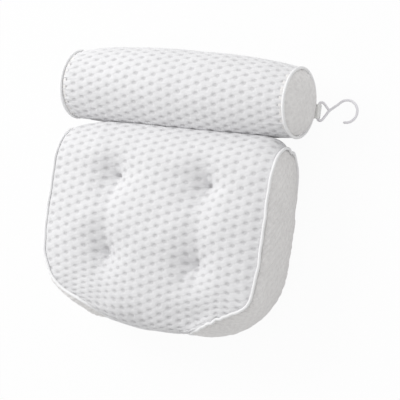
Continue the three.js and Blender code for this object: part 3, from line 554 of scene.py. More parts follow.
def turned(profile, steps, centre, rounding):
    """A turned surface: radius and height pairs carried round a vertical axis.

    Its corners are cut a number of times: each gives way to points at a quarter and
    three quarters of its sides.
    """
    line = np.array(profile, float)
    for _ in range(rounding):
        a, b = line[:-1], line[1:]
        cut = np.stack([0.75 * a + 0.25 * b, 0.25 * a + 0.75 * b], 1)
        line = np.vstack([line[:1], cut.reshape(-1, 2), line[-1:]])
    angle = circle(steps)[None, :]
    r, h = line[:, :1], line[:, 1:]
    return patch(grid(r * np.cos(angle), r * np.sin(angle), h) + centre, wrap_columns=True)


# The cushion's shape


class Cushion:
    """The cushion's seam outline, wall and crown, in metres from its own datum."""

    def __init__(self):
        scene = bpy.context.scene
        self.s = s = scene.pillow_cushion
        self.f = scene.pillow_fabric
        self.r = scene.pillow_roll
        self.radius = s.thickness / 2
        self.wrap_y = s.top_y - self.radius
        self.bow_y = s.bottom_y + s.bow_depth
        self.face_low_y = s.bottom_y + self.radius
        self.face_mid_y = (self.wrap_y + self.face_low_y) / 2
        self.face_half = (self.wrap_y - self.face_low_y) / 2
        self.side_length = self.wrap_y - self.bow_y
        self.angles = np.linspace(0, np.pi / 2, 481)
        x = s.half_width * np.cos(self.angles)
        y = s.bow_depth * np.sin(self.angles)
        self.arc = np.concatenate([[0], np.cumsum(np.hypot(np.diff(x), np.diff(y)))])
        self.length = self.side_length + self.arc[-1]
        tip = math.acos(s.panel_tip_x / s.half_width)
        self.panel_centre = self.side_length + np.interp(tip, self.angles, self.arc) - self.radius
        low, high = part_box("roll_core")
        middle = (low + high) / 2
        self.roll_y = s.top_y + s.top_crown + 2 * MM + self.r.radius
        self.roll_z = self.r.radius - s.back_crown
        self.origin = np.array([middle.x, middle.y - self.roll_y, middle.z - self.roll_z])
        self.roll_axis = np.array([0, self.roll_y, self.roll_z])
        self.tufts = [
            (side * s.tuft_x, y) for y in (s.tuft_upper_y, s.tuft_lower_y) for side in (-1, 1)
        ]

    def roll_section(self, share):
        """The roll's height, depth and rise at a share of its length.

        Both radii fall as the cube of the share, and each end hangs a little.
        """
        r = self.r
        fall = np.abs(share) ** 3
        high = r.mid_high - (r.mid_high - r.end_high) * fall
        deep = r.radius - (r.radius - r.end_deep) * fall
        sag = np.where(share < 0, r.sag_left, r.sag_right)
        return high, deep, ROLL_RISE - (ROLL_RISE + sag) * fall

    def under_roll(self, points):
        """Points held just under the roll, where its oval section would touch them."""
        high, deep, rise = self.roll_section(points[..., 0] / self.r.half_length)
        off = np.clip((points[..., 2] - self.roll_z) / deep, -0.98, 0.98)
        limit = self.roll_y + rise - high * np.sqrt(1 - off * off) - ROLL_GAP
        held = points.copy()
        held[..., 1] = np.minimum(points[..., 1], limit)
        return held

    def settle(self, points):
        """The filled cushion's uneven settling, the same for all its pieces.

        Products of smooth steps draw in both lower corners and the right panel's back
        seam, and raise the upper right corner. Bell curves let the lower edge hang on
        the right, tuck in each panel's upper end, push the filling into the lower right
        corner, draw up the rippled run beside it and draw in the lower left front seam.
        """
        s = self.s
        x, y, z = np.moveaxis(points, -1, 0)
        low = step(-y, *LOWER_CORNERS)
        dx = s.low_left_pull * low * step(-x, *LEFT_HALF)
        dx -= s.low_right_pull * low * step(y, *ABOVE_TIP) * step(x, *RIGHT_RIM)
        hang = bell(x, *HANGING) - 0.5 * bell(x, *HELD)
        dy = -s.low_sag * hang * step(-y, *LOWER_EDGE)
        dy += s.top_right_lift * step(x, *RIGHT_HALF) * step(y, *UPPER_HALF)
        tuck = step(x, *PANEL_RIM) * step(y, *PANEL_TOP)
        dy -= s.notch * tuck * bell(z, *NOTCH_HEIGHT)
        front = smooth(z / s.thickness)
        push = s.corner_push * front * round_bell(x, y, *PUSHED_CORNER)
        ripple = sum(height * np.sin(2 * np.pi * x / pitch) for height, pitch in RIPPLES)
        dy += (s.run_pull + ripple) * front * round_bell(x, y, *DRAWN_RUN)
        dx += waves(points, "seam") * step(np.abs(x), *SIDE_RIM)
        pull = s.chord_pull * round_bell(x, y, *DRAWN_CHORD) * step(z, *FRONT_HALF)
        dx += PUSH_WAY[0] * push + CHORD_WAY[0] * pull
        dy += PUSH_WAY[1] * push + CHORD_WAY[1] * pull
        dx -= s.back_inset * step(x, *BACK_RIM) * smooth(1 - z / BEHIND)
        return points + grid(dx, dy, 0)

    def outline(self, length):
        """Point and inward direction at a length: a straight side, then half an ellipse."""
        s = self.s
        angle = np.interp(length - self.side_length, self.arc, self.angles)
        on_side = length <= self.side_length
        x = s.half_width * np.cos(angle)
        y = np.where(on_side, self.wrap_y - length, self.bow_y - s.bow_depth * np.sin(angle))
        nx, ny = -np.cos(angle) / s.half_width, np.sin(angle) / s.bow_depth
        size = np.hypot(nx, ny)
        return x, y, nx / size, ny / size

    def panel_end(self, z, tuck=0.0):
        """Length of the side panel's rounded end at a height, a tuck further out."""
        r = self.radius + tuck
        return self.panel_centre + np.sqrt(np.maximum(0, r * r - (z - self.radius) ** 2))

    def squareness(self, length, z):
        """1 along the side panel, falling smoothly to 0 where the mesh rolls under."""
        return smooth(1 - (length - self.panel_end(z)) / self.s.corner_roll)

    def wall(self, length, z, swell=0.0):
        """Point of the wall: the outline, drawn in by a half circle where it isn't square."""
        x, y, nx, ny = self.outline(length)
        r = self.radius
        circle_inset = r - np.sqrt(np.maximum(0, r * r - (z - r) ** 2))
        inset = (1 - self.squareness(length, z)) * circle_inset - swell
        return grid(x + nx * inset, y + ny * inset, z)

    def face_edge(self, length):
        """Edge of the front or back face in plan: the outline, drawn in where it rolls."""
        x, y, nx, ny = self.outline(length)
        square = self.squareness(length, self.s.thickness)
        inset = (1 - square) * self.radius + square * self.f.tuck
        return x + nx * inset, y + ny * inset

    def plan(self, share, row):
        """Plan point of a face, from its share across and its share from top to bottom.

        Columns run from the top seam to the lower edge, and are spread between the sides.
        """
        corner = self.panel_end(self.s.thickness, self.f.tuck)
        side_x, side_y = self.face_edge(row * corner)
        corner_x, corner_y = self.face_edge(corner)
        low_x, low_y = self.face_edge(self.length - np.abs(share) * (self.length - corner))
        side_row = (self.wrap_y - side_y) / (self.wrap_y - corner_y)
        part = row + share * share * (side_row - row)
        x = share * side_x + row * (np.sign(share) * low_x - share * corner_x)
        return x, self.wrap_y - part * (self.wrap_y - low_y)

    def half_at(self, y):
        """Half width of the outline at a height on the plan."""
        drop = np.clip((self.bow_y - y) / self.s.bow_depth, 0, 1)
        return self.s.half_width * np.sqrt(1 - drop * drop)

    def rise(self, share):
        """1 over the middle, falling as the fourth power to 0 at the seams."""
        return 1 - np.clip(np.abs(share), 0, 1) ** 4

    def crown_along(self, y):
        """Rise of the front from its ends to its middle, level at both ends."""
        part = 1 - np.clip((y - self.face_mid_y) / self.face_half, -1, 1) ** 2
        return self.s.end_crown + (self.s.front_crown - self.s.end_crown) * part**1.5

    def back_share(self, x, y):
        """Share of the back's rise: a flat middle with a sloping rim."""
        w = self.s.back_slope
        sides = smooth((self.half_at(y) - np.abs(x)) / w)
        return sides * smooth((self.wrap_y - y) / w) * smooth((y - self.face_low_y) / w)

    def tuft_depth(self, x, y):
        """Depth of bowls, pits, creases, valleys and the lower hollow under a plan point.

        A bowl is a bell curve, and a pit falls off by the distance. Creases are waves of
        the bearing, highest on a ring round the tuft. A valley is a bell curve across the
        line of two tufts, and the hollow one across the lower right, deeper further down.
        """
        s = self.s
        depth = np.zeros(np.broadcast(x, y).shape)
        for k, (tx, ty) in enumerate(self.tufts):
            r = np.hypot(x - tx, y - ty)
            bearing = np.arctan2(y - ty, x - tx)
            depth += s.bowl_depth * np.exp(-((r / s.bowl_radius) ** 2))
            depth += s.pit_depth * np.exp(-r / s.pit_radius)
            wave = np.sin(7 * bearing + 1.3 * k) + 0.6 * np.sin(11 * bearing + 2.1 * k)
            ring = (r / CREASE_RADIUS) * np.exp(1 - r / CREASE_RADIUS)
            depth += s.crease * wave * ring**1.5
        hollow = bell(x, HOLLOW_X, s.hollow_half) * step(-y, *HOLLOW_TOP)
        depth += s.hollow_depth * hollow
        run = step(y, s.tuft_lower_y - VALLEY_BELOW, VALLEY_EASE)
        run = run * step(-y, -s.tuft_upper_y - VALLEY_ABOVE, VALLEY_EASE)
        for side in (-1, 1):
            depth += s.valley_depth * run * bell(x, side * s.tuft_x, s.valley_width)
        return depth

    def to_world(self, points):
        """Points of the design moved to where the packed model holds them."""
        return points + self.origin

    def settled(self, points):
        """Points of the cushion, settled and moved to the packed model's place."""
        return self.to_world(self.settle(points))


# Relief of the covers


def pucker(f, along, from_seam, seed):
    """Puckers along a seam: uneven waves that fade out away from it."""
    turn = 2 * np.pi * along / f.pucker_pitch
    wave = np.sin(turn + seed) + 0.5 * np.sin(0.61 * turn + 2 * seed) + 0.4 * np.sin(1.7 * turn)
    return f.pucker * wave * np.exp(-from_seam / PUCKER_REACH)


def gathers(f, angle, folds, share, from_seam, reach):
    """Gathers round an end of the roll: sines of the angle that fade out from the seam."""
    first, second, third = (np.sin(count * angle + turn) for count, turn in zip(folds, (0, 1, 0)))
    wave = first + 0.5 * second + 0.4 * third
    return share * f.pucker * wave * np.exp(-from_seam / reach)


def drawn_in(f, height, from_seam, fade, share=1.0):
    """Relief that fades out at a seam, where the cover dips by a share of the seam draw."""
    return height * smooth(from_seam / fade) - share * f.draw * np.exp(-from_seam / f.draw_reach)


def eye_relief(f, flat, points):
    """Relief of the plain cloth: sunk eyes in a staggered lattice, and a soft mottling."""
    size = f.eye_size
    eyes = lattice(flat[..., 0], flat[..., 1], f.eye_column, f.eye_row, size, size)
    return f.quilt * noise(points, f.quilt_pitch, 17) - f.eye_depth * eyes


def rib_relief(f, flat, points):
    """Relief of slanting ribs: a cosine across them, bent by soft waves."""
    slant = (RIB_SLANT[0] * flat[..., 0] - RIB_SLANT[1] * flat[..., 1]) / f.rib_pitch
    return f.rib_height * np.cos(2 * np.pi * slant + waves(points, "rib"))


def low_bulge(along):
    """A bulge that grows over a panel's lower half and ends at its tip."""
    return step(along, 0.45, 0.3) * smooth((1 - along) / 0.13)


# The cushion's pieces


def top_zone(c, share, angle):
    """The half circle over the top, crowned between the corners and pressed up to the roll.

    The crown and the fill fall to the seams as high powers of the distance, later on
    the right than on the left. The press is a bell curve of the angle, weaker on the right.
    """
    s = c.s
    x = share * (s.half_width - c.f.tuck)
    side = np.clip(np.abs(x) / s.half_width, 0, 1)
    swell = 1 - np.where(x > 0, side**14, side**5)
    crown = np.maximum((1 - side**6) * s.top_crown, swell * (s.top_crown + s.top_fill))
    press = s.top_press * swell * (1 - PRESS_LOSS * step(x, *PRESS_FADE))
    crown = crown + press * bell(angle, *PRESS_ANGLE)
    lift = np.where(angle > 0, c.rise(x / s.half_width) * s.end_crown, 0)
    y = c.wrap_y + (c.radius + crown) * np.cos(angle)
    return grid(x, y, c.radius + (c.radius + lift) * np.sin(angle))


def face_zone(c, share, row):
    """The crowned face between the top and the lower end."""
    x, y = c.plan(share, row)
    crown = c.rise(x / np.maximum(c.half_at(y), c.f.tuck)) * c.crown_along(y)
    return grid(x, y, c.s.thickness + crown)


def low_zone(c, share, angle):
    """The half circle under the bottom, between the side panels' rounded ends."""
    z = c.radius + c.radius * np.sin(angle)
    start = c.panel_end(z, c.f.tuck)
    wall = c.wall(c.length - np.abs(share) * (c.length - start), z + 0 * share)
    wall[..., 0] *= np.sign(share)
    wall[..., 2] += c.rise(share) * c.s.end_crown * np.maximum(0, np.sin(angle))
    return wall


def front_cover_surface(c, rows=(96, 112, 96), columns=224):
    """The mesh over the top, down the front and under the bottom, without its weave.

    The three zones share their columns. Tufts and hollow sink only where the cover
    looks forward, and fade out towards the side seams.
    """
    share = np.linspace(-1, 1, columns)[None, :]
    over = np.linspace(-np.pi / 2, np.pi / 2, rows[0])[:-1, None]
    row = np.linspace(0, 1, rows[1])[:, None]
    under = np.linspace(np.pi / 2, -np.pi / 2, rows[2])[1:, None]
    zones = [top_zone(c, share, over), face_zone(c, share, row), low_zone(c, share, under)]
    points = np.concatenate(zones, 0)
    v = distance_along(points, 0)
    v += -c.wrap_y - v[rows[0] - 1]
    uv = np.stack([points[..., 0], v], -1)
    points = blurred(points, 10)
    forward = np.maximum(0, np.concatenate([np.sin(over), 1 + 0 * row, np.sin(under)], 0))
    edge = smooth(from_rim(points, 1) / TUFT_EDGE)
    points[..., 2] -= c.tuft_depth(points[..., 0], points[..., 1]) * forward * edge
    return points, uv


def build_front_cover():
    """The cushion's mesh cover, with its dots sunk into the surface."""
    c = Cushion()
    f = c.f
    points, uv = front_cover_surface(c)
    from_side = from_rim(points, 1)
    u, v = uv[..., 0], uv[..., 1]
    dots = lattice(u, v, f.cushion_column, f.cushion_row, f.dot_across, f.dot_along)
    height = -f.dot_depth * dots + waves(points, "cover") + pucker(f, v, from_side, 1.0)
    height = drawn_in(f, height, from_side, COVER_FADE)
    points = c.under_roll(c.settle(points + grid_normals(points, UP_AXIS) * height[..., None]))
    points, uv = hemmed(points, points - grid_normals(points, UP_AXIS) * f.hem, uv)
    piece = make_piece(
        "cushion_cover",
        [patch(c.to_world(points), uv, flip=True)],
        mesh_material("cushion_mesh", f.cushion_column, f.cushion_row),
    )
    place(piece, "cushion", "mesh_fabric", "front_cover", "cushion_core")


def build_side_panels():
    """Side panels: a band with rounded ends, down the side and round the corner.

    Both swell as a half sine across and as a fourth power along. The left one bulges
    further low down and the right one all over, as a power of the half sine below 1,
    which is fuller towards the seams.
    """
    c = Cushion()
    s, f = c.s, c.f
    material = plain_material()
    across = np.linspace(0, 1, 120)[:, None]
    along = np.linspace(0, 1, 260)[None, :]
    half_sine = np.maximum(0, np.sin(np.pi * across))
    full, level = half_sine**FULLNESS, c.rise(2 * along - 1)
    extra = {"left": s.low_swell * full * low_bulge(along), "right": s.right_swell * full * level}
    radius = c.radius - f.tuck
    reach = radius * half_sine
    z = c.radius - radius * np.cos(np.pi * across)
    length = along * (c.panel_centre + 2 * reach) - reach
    flat = grid(z, length)
    from_end = np.minimum(length + reach, c.panel_centre + reach - length)
    from_seam = np.minimum(np.minimum(z, s.thickness - z), from_end)
    for name, side in SIDES:
        out = np.array([side, 0, 0])
        swell = s.side_swell * half_sine * level + extra[name]
        points = c.wall(length, z + 0 * length, swell) * np.array([side, 1, 1])
        normals = grid_normals(points, out)
        height = pucker(f, length + 0.3 * z, from_seam, 2.0 + side) + waves(points, "side")
        height += eye_relief(f, flat, points) + rib_relief(f, flat, points)
        height = drawn_in(f, height, from_seam, PANEL_FADE, PANEL_DRAW)
        points = c.settle(points + normals * height[..., None])
        points, uv = hemmed(points, points - normals * f.hem, flat)
        sheet = patch(c.to_world(points), uv, flip=side > 0)
        piece = make_piece(f"side_panel_cloth_{name}", [sheet], material)
        outward(piece, out)
        place(piece, "cushion", "plain_fabric", f"side_panel_{name}")


def build_side_piping():
    """Piping: a cord in cloth, in one loop round each side panel.

    It runs down the front, round the lower end in a half circle, up the back and
    round the upper end.
    """
    c = Cushion()
    run = np.linspace(0, 1, 150)[1:]
    turn = np.linspace(-np.pi / 2, np.pi / 2, 90)[1:]
    reach, lift = c.radius * np.cos(turn), c.radius * np.sin(turn)
    lengths = [run * c.panel_centre, c.panel_centre + reach, (1 - run) * c.panel_centre, -reach]
    heights = [0 * run + c.s.thickness, c.radius - lift, 0 * run, c.radius + lift]
    path = eased(c.wall(np.concatenate(lengths), np.concatenate(heights)), 6, closed=True)
    for name, side in SIDES:
        line = path * np.array([side, 1, 1])
        piece = make_cord(f"side_cord_{name}", line, c.settled(line), "side_cord")
        place(piece, "cushion", "piping", f"side_piping_{name}")


def build_back_panel():
    """Back panel: plain cloth with a flat raised middle, and a dimple at each tuft."""
    c = Cushion()
    f = c.f
    x, y = c.plan(np.linspace(-1, 1, 150)[None, :], np.linspace(0, 1, 130)[:, None])
    z = -c.s.back_crown * c.back_share(x, y)
    for spot in c.tufts:
        z = z + DIMPLE_DEPTH * round_bell(x, y, spot, DIMPLE_REACH)
    points = grid(x, y, z)
    from_seam = np.minimum(from_rim(points, 1), from_rim(points, 0))
    height = pucker(f, x + y, from_seam, 3.0) + waves(points, "back")
    points[..., 2] -= height * smooth(from_seam / COVER_FADE)
    points = c.settle(points)
    points, uv = hemmed(points, points + UP_AXIS * f.hem, points[..., :2])
    piece = make_piece("back_cloth", [patch(c.to_world(points), uv)], plain_material())
    outward(piece, -UP_AXIS)
    place(piece, "cushion", "plain_fabric", "back_panel")


def build_back_seam():
    """A raised seam where the mesh meets the back panel, at the top and the bottom."""
    c = Cushion()
    share = np.linspace(-1, 1, 160)
    ends = (("top", (share * c.s.half_width, c.wrap_y)), ("bottom", c.plan(share, 1 + 0 * share)))
    for name, (x, y) in ends:
        patches = rod(c.settled(grid(x, y, -0.2 * MM)), SEAM_RADIUS, 10)
        piece = make_piece(f"back_seam_{name}", patches, piping_material(), weld=1e-5)
        place(piece, "cushion", "piping")


def build_tufts():
    """Tuft stitches: two crossed loops of thread in each pit, and a knot behind.

    A loop is a parabola over the pit, and the knot is two turns of a helix.
    """
    c = Cushion()
    t = np.linspace(-1, 1, 25)
    coil_turn = np.linspace(0, 4 * np.pi, 70)
    coil_x, coil_y = KNOT_RADIUS * np.cos(coil_turn), KNOT_RADIUS * np.sin(coil_turn)
    coil = grid(coil_x, coil_y, -KNOT_FALL * coil_turn / np.pi)
    for name, (tx, ty) in zip(TUFT_NAMES, c.tufts):
        depth = float(c.tuft_depth(np.array([tx]), np.array([ty]))[0])
        top = c.s.thickness + float(c.crown_along(np.array(ty))) - depth
        patches = []
        for turn, over in STITCHES:
            x, y = STITCH_HALF * t * math.cos(turn), STITCH_HALF * t * math.sin(turn)
            line = grid(tx + x, ty + y, top + over + STITCH_RISE * (1 - t * t))
            patches += rod(c.to_world(line), THREAD, 8)
        knot = np.array([tx, ty, 2 * MM - c.s.back_crown])
        patches += rod(c.to_world(coil + knot), THREAD, 8, tips=(True,))
        piece = make_piece(f"tuft_thread_{name}", patches, thread_material(), weld=1e-5)
        place(piece, "cushion", "thread", f"tuft_stitch_{name}")


# The neck roll


def build_roll_cover():
    """The roll's mesh: a cylinder that swells a little, drawn in at its end seams.

    Round each cup it is flattened to the plane behind which the eyelet stands.
    """
    c = Cushion()
    f, r = c.f, c.r
    half = r.half_length - f.tuck
    share = np.linspace(-1, 1, 236)[None, :]
    angle = circle(250)[:, None]
    high, deep, rise = c.roll_section(share)
    x = share * half + 0 * angle
    points = grid(x, rise + high * np.sin(angle), deep * np.cos(angle))
    girth = 2 * np.pi * r.radius
    row = girth / round(girth / f.roll_row)
    v = angle / (2 * np.pi) * girth + 0 * share
    dots = lattice(x, v, f.roll_column, row, f.dot_across, f.dot_along)
    from_seam = half - np.abs(x)
    height = -f.dot_depth * dots + waves(points, "roll")
    height += gathers(f, angle, (38, 23, 61), 1.8, from_seam, 0.011)
    height = drawn_in(f, height, from_seam, PANEL_FADE)
    for cup in ("roll_left", "roll_right"):
        low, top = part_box(f"eyelet_{cup}")
        off = (low.x + top.x) / 2 - c.origin[0]
        reach = np.hypot(points[..., 0] - off, points[..., 1])
        back = c.roll_z + points[..., 2] + EYELET_PLANE
        height += np.where(points[..., 2] < 0, back, 0) * np.exp(-((reach / EYELET_REACH) ** 4))
    outwards = grid(0 * x, np.sin(angle), np.cos(angle))
    points = points + outwards * height[..., None]
    uv = np.stack([x, v], -1)
    uv = np.concatenate([uv, uv[:1] + np.array([0, girth])], 0)
    inner = points - outwards * f.hem
    points = np.concatenate([inner[:, :1], points, inner[:, -1:]], 1)
    uv = np.concatenate([uv[:, :1], uv, uv[:, -1:]], 1)
    piece = make_piece(
        "roll_mesh",
        [patch(c.to_world(points + c.roll_axis), uv, wrap_rows=True)],
        mesh_material("roll_mesh", f.roll_column, row, -1),
    )
    centres = face_vectors(piece, "center")
    outward(piece, (centres - c.to_world(c.roll_axis)) * np.array([0, 1, 1]))
    place(piece, "neck_roll", "mesh_fabric", "roll_cover", "roll_core")


def build_roll_ends():
    """End panels: shallow domes with gathers along the seam, and piping round them.

    A dome falls as the 4.5th power of the distance from its centre.
    """
    c = Cushion()
    f, r = c.f, c.r
    share = np.linspace(0, 1, 64)[:, None]
    angle = circle(220)[None, :]
    from_seam = (1 - share) * (r.end_high - f.tuck)
    folds = gathers(f, angle, (31, 19, 53), 0.8, from_seam, 0.012)
    wrinkle = drawn_in(f, folds, from_seam, PANEL_FADE, PANEL_DRAW)
    turn = circle(260)
    for name, side in SIDES:
        high, deep, hang = (float(v) for v in c.roll_section(np.array(float(side))))
        middle = np.array([0, c.roll_y + hang, c.roll_z])
        y = share * (high - f.tuck) * np.cos(angle)
        z = share * (deep - f.tuck) * np.sin(angle)
        flat = grid(z, y)
        points = grid(r.half_length + r.dome * (1 - share**4.5) + wrinkle, y, z)
        mottle = waves(points, "end") + eye_relief(f, flat, points)
        points[..., 0] += mottle * smooth(from_seam / COVER_FADE)
        points = points * np.array([side, 1, 1])
        points = np.concatenate([points, points[-1:] - np.array([side * f.hem, 0, 0])], 0)
        uv = np.concatenate([flat, flat[-1:]], 0)
        uv = np.concatenate([uv, uv[:, :1]], 1)
        sheet = patch(c.to_world(points + middle), uv, wrap_columns=True)
        piece = make_piece(f"roll_end_cloth_{name}", [sheet], plain_material(), weld=1e-6)
        outward(piece, np.array([side, 0, 0]))
        place(piece, "neck_roll", "plain_fabric", f"roll_end_panel_{name}")
        out = 0.4 * MM
        ring = grid(0, (high + out) * np.cos(turn), (deep + out) * np.sin(turn))
        line = ring + middle + np.array([side * (r.half_length + out), 0, 0])
        piece = make_cord(f"roll_cord_{name}", line, c.to_world(line), "roll_cord")
        place(piece, "neck_roll", "piping", f"roll_piping_{name}")


def build_flap():
    """Flap: one strip of cloth from the cushion's top seam, flat over the fold, onto the roll."""
    c = Cushion()
    r = c.r
    half_thick = r.flap_thickness / 2
    start = c.wrap_y + MM
    inner = r.radius + FLAP_GAP + half_thick
    mid_z = -FLAP_GAP - half_thick
    meet = math.asin((c.roll_z - mid_z) / inner)
    turn = meet + np.linspace(0, 1, 16) * r.flap_lap / inner
    lap = grid(0, c.roll_y - inner * np.cos(turn), c.roll_z - inner * np.sin(turn))
    run = grid(0, np.linspace(start, lap[0, 1], 60)[:-1], mid_z)
    line = eased(np.concatenate([run, lap], 0), 8)
    slope = np.gradient(line, axis=0)
    normal = unit(grid(0, -slope[:, 2], slope[:, 1]))
    faces = [line + normal * half_thick, (line - normal * half_thick)[::-1]]
    share = np.linspace(-1, 1, 90)[None, :, None]
    points = np.concatenate(faces, 0)[:, None, :] + np.array([r.flap_half, 0, 0]) * share
    patches = band(c.to_world(points), points[..., 0])
    piece = make_piece("flap_cloth", patches, plain_material(), weld=1e-6)
    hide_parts("cushion_flap", "roll_flap")
    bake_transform(piece)


# Hook, tab and cups


def hook_frame(c):
    """Centre of the hook's bar, which the tab and the hook share."""
    low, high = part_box("hook_tab")
    x = c.origin[0] + c.r.half_length + BAR_OUT
    return np.array([x, (low.y + high.y) / 2, (low.z + high.z) / 2])


def arc(x, y, radius, start, end, count):
    """Points of an arc in the hook's plane, with its angles in quarter turns."""
    angle = np.linspace(start, end, count) * np.pi / 2
    return grid(x + radius * np.cos(angle), y + radius * np.sin(angle), 0)


def even(line, count):
    """A line drawn again with points an even distance apart, and its corners eased."""
    for _ in range(2):
        lengths = np.linalg.norm(np.diff(line, axis=0), axis=1)
        at = np.concatenate([[0], np.cumsum(lengths)])
        want = np.linspace(0, at[-1], count)
        line = eased(np.stack([np.interp(want, at, line[:, k]) for k in range(3)], -1), 6)
    return line


def build_hook():
    """Hook: one wire, from a triangular eye over a short shank into an open hook."""
    c = Cushion()
    bend, side = EYE_BEND, EYE_SIDE
    corner = EYE_HALF - bend
    meeting = np.array([EYE_MEETING])
    arm = [
        meeting,
        arc(side, corner, bend, 0.55, 1, 8),
        arc(bend, corner, bend, 1, 2, 10),
        np.array([[0, -EYE_LAP, 0]]),
    ]
    main = [
        np.array([[0, EYE_LAP, 0]]),
        arc(bend, -corner, bend, 2, 3, 10),
        arc(side, -corner, bend, 3, 3.5, 8),
        meeting,
        arc(*HOOK_CENTRE, HOOK_RADIUS, *HOOK_TURNS, 60),
    ]
    patches = []
    for parts in (arm, main):
        patches += rod(even(np.vstack(parts), 150) + hook_frame(c), c.r.wire, 20)
    piece = make_piece("hook_wire", patches, wire_material(), weld=1e-6)
    place(piece, "hook", "hook_plastic", "hook")


def build_tab():
    """Webbing tab: a ribbed band folded round the hook's bar, with both ends in the seam.

    Its two layers ease apart to a circle round the bar. The ribs are a cosine across.
    """
    c = Cushion()
    thick = TAB_THICKNESS
    mid = c.r.wire + TAB_GAP + thick / 2
    turn = np.linspace(TAB_WRAP, -TAB_WRAP, 40) * np.pi
    loop = mid * grid(np.cos(turn), np.sin(turn))
    x = np.linspace(TAB_START, loop[0, 0], 24)[:-1]
    share = step(x, TAB_START, loop[0, 0] - TAB_START)
    upper = grid(x, TAB_SPREAD + (loop[0, 1] - TAB_SPREAD) * share)
    lower = (upper * np.array([1, -1]))[::-1]
    line = np.vstack([upper, loop, lower])
    slope = np.gradient(line, axis=0)
    normal = unit(grid(-slope[:, 1], slope[:, 0]))
    width = np.linspace(-0.5, 0.5, 97)[None, :]
    edge = smooth((0.5 - np.abs(width)) / TAB_EDGE)
    ribs = TAB_RIB * np.cos(2 * np.pi * TAB_RIBS * width)
    off = thick / 2 * (0.45 + 0.55 * edge)
    faces = []
    for way in (1, -1):
        out = way * off + way * ribs * edge
        x = line[:, :1] + normal[:, :1] * out
        faces.append(grid(x, width * c.r.tab_width, line[:, 1:] + normal[:, 1:] * out))
    points = np.concatenate([faces[0], faces[1][::-1]], 0) + hook_frame(c)
    patches = band(points, points[..., 1])
    piece = make_piece("tab_webbing", patches, webbing_material(), weld=1e-6)
    place(piece, "neck_roll", "webbing", "hook_tab")


def cup_profile(rim, height, head):
    """Radius and height pairs of a suction cup: hollow, sealing rim, bell, neck and head."""
    seal = rim - 4 * MM
    return [
        (0, height - 2.6 * MM),
        (7 * MM, height - 2.6 * MM),
        (0.62 * rim, 0.42 * height),
        (seal, 0.2 * MM),
        (seal + 0.4 * MM, 0.0),
        (rim - 0.2 * MM, 0.0),
        (rim, 0.4 * MM),
        (rim - 0.1 * MM, 1.4 * MM),
        (0.8 * rim, 0.46 * height),
        (0.5 * rim, 0.84 * height),
        (7 * MM, height),
        (4.4 * MM, height),
        (4.2 * MM, height + 0.8 * MM),
        (4.2 * MM, head - 3.4 * MM),
        (4.4 * MM, head - 3 * MM),
        (6.4 * MM, head - 3 * MM),
        (6.6 * MM, head - 2.6 * MM),
        (4.6 * MM, head - 0.3 * MM),
        (0, head),
    ]


def eyelet_profile(low, high):
    """Radius and height pairs of an eyelet: two flanges on a barrel, one the other's mirror."""
    bore, barrel, flange = 4.7 * MM, 6 * MM, 10 * MM
    half = [
        (bore, 0.5 * MM),
        (bore + 0.3 * MM, 0),
        (flange - 0.5 * MM, 0),
        (flange, 0.45 * MM),
        (flange - 0.2 * MM, 0.9 * MM),
        (barrel, 0.9 * MM),
    ]
    lower = [(radius, low + rise) for radius, rise in half]
    upper = [(radius, high - rise) for radius, rise in reversed(half)]
    return [*lower, *upper, lower[0]]


def build_cups():
    """Suction cups and eyelets: turned profiles with eased corners, and a pull tongue."""
    r = bpy.context.scene.pillow_roll
    for name in CUP_NAMES:
        low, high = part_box(f"suction_cup_{name}")
        x, y = low.x + r.cup_radius, (low.y + high.y) / 2
        profile = cup_profile(r.cup_radius, r.cup_height, high.z)
        patches = [turned(profile, 72, (x, y, 0), 2), tongue(x, y, r.cup_radius)]
        piece = make_piece(f"cup_vinyl_{name}", patches, vinyl_material(), weld=1e-6)
        place(piece, f"cup_{name}", "cup_plastic", f"suction_cup_{name}")
        low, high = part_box(f"eyelet_{name}")
        patches = [turned(eyelet_profile(low.z, high.z), 64, (x, y, 0), 1)]
        piece = make_piece(f"eyelet_ring_{name}", patches, eyelet_material(), weld=1e-6)
        body = "neck_roll" if name.startswith("roll") else "cushion"
        place(piece, body, "eyelet_plastic", f"eyelet_{name}")


def tongue(x, y, rim):
    """A cup's pull tongue: a flat tab with a rounded end and low grip ribs.

    Its section is a squared oval: square roots of the cosine and the sine.
    """
    length, half, thick, rib = 10 * MM, 5 * MM, 1.5 * MM, 0.15 * MM
    along = np.linspace(0, 1, 30)[:, None]
    round_end = np.sqrt(np.maximum(0, 1 - np.clip((along - 0.6) / 0.4, 0, 1) ** 2.5))
    turn = circle(40)[None, :]
    flat, tall = (np.sign(v) * np.sqrt(np.abs(v)) for v in (np.cos(turn), np.sin(turn)))
    ribs = rib * np.cos(2 * np.pi * along * 5) * step(along, 0.2, 0.2)
    points = grid(
        x + rim - 2 * MM + along * length,
        y + half * (0.12 + 0.88 * round_end) * flat,
        thick / 2 + (thick / 2 + ribs - rib) * tall,
    )
    ends = [np.broadcast_to(row.mean(0), (1, *row.shape)) for row in (points[0], points[-1])]
    return patch(np.concatenate([ends[0], points, ends[1]], 0), wrap_columns=True)


# Materials


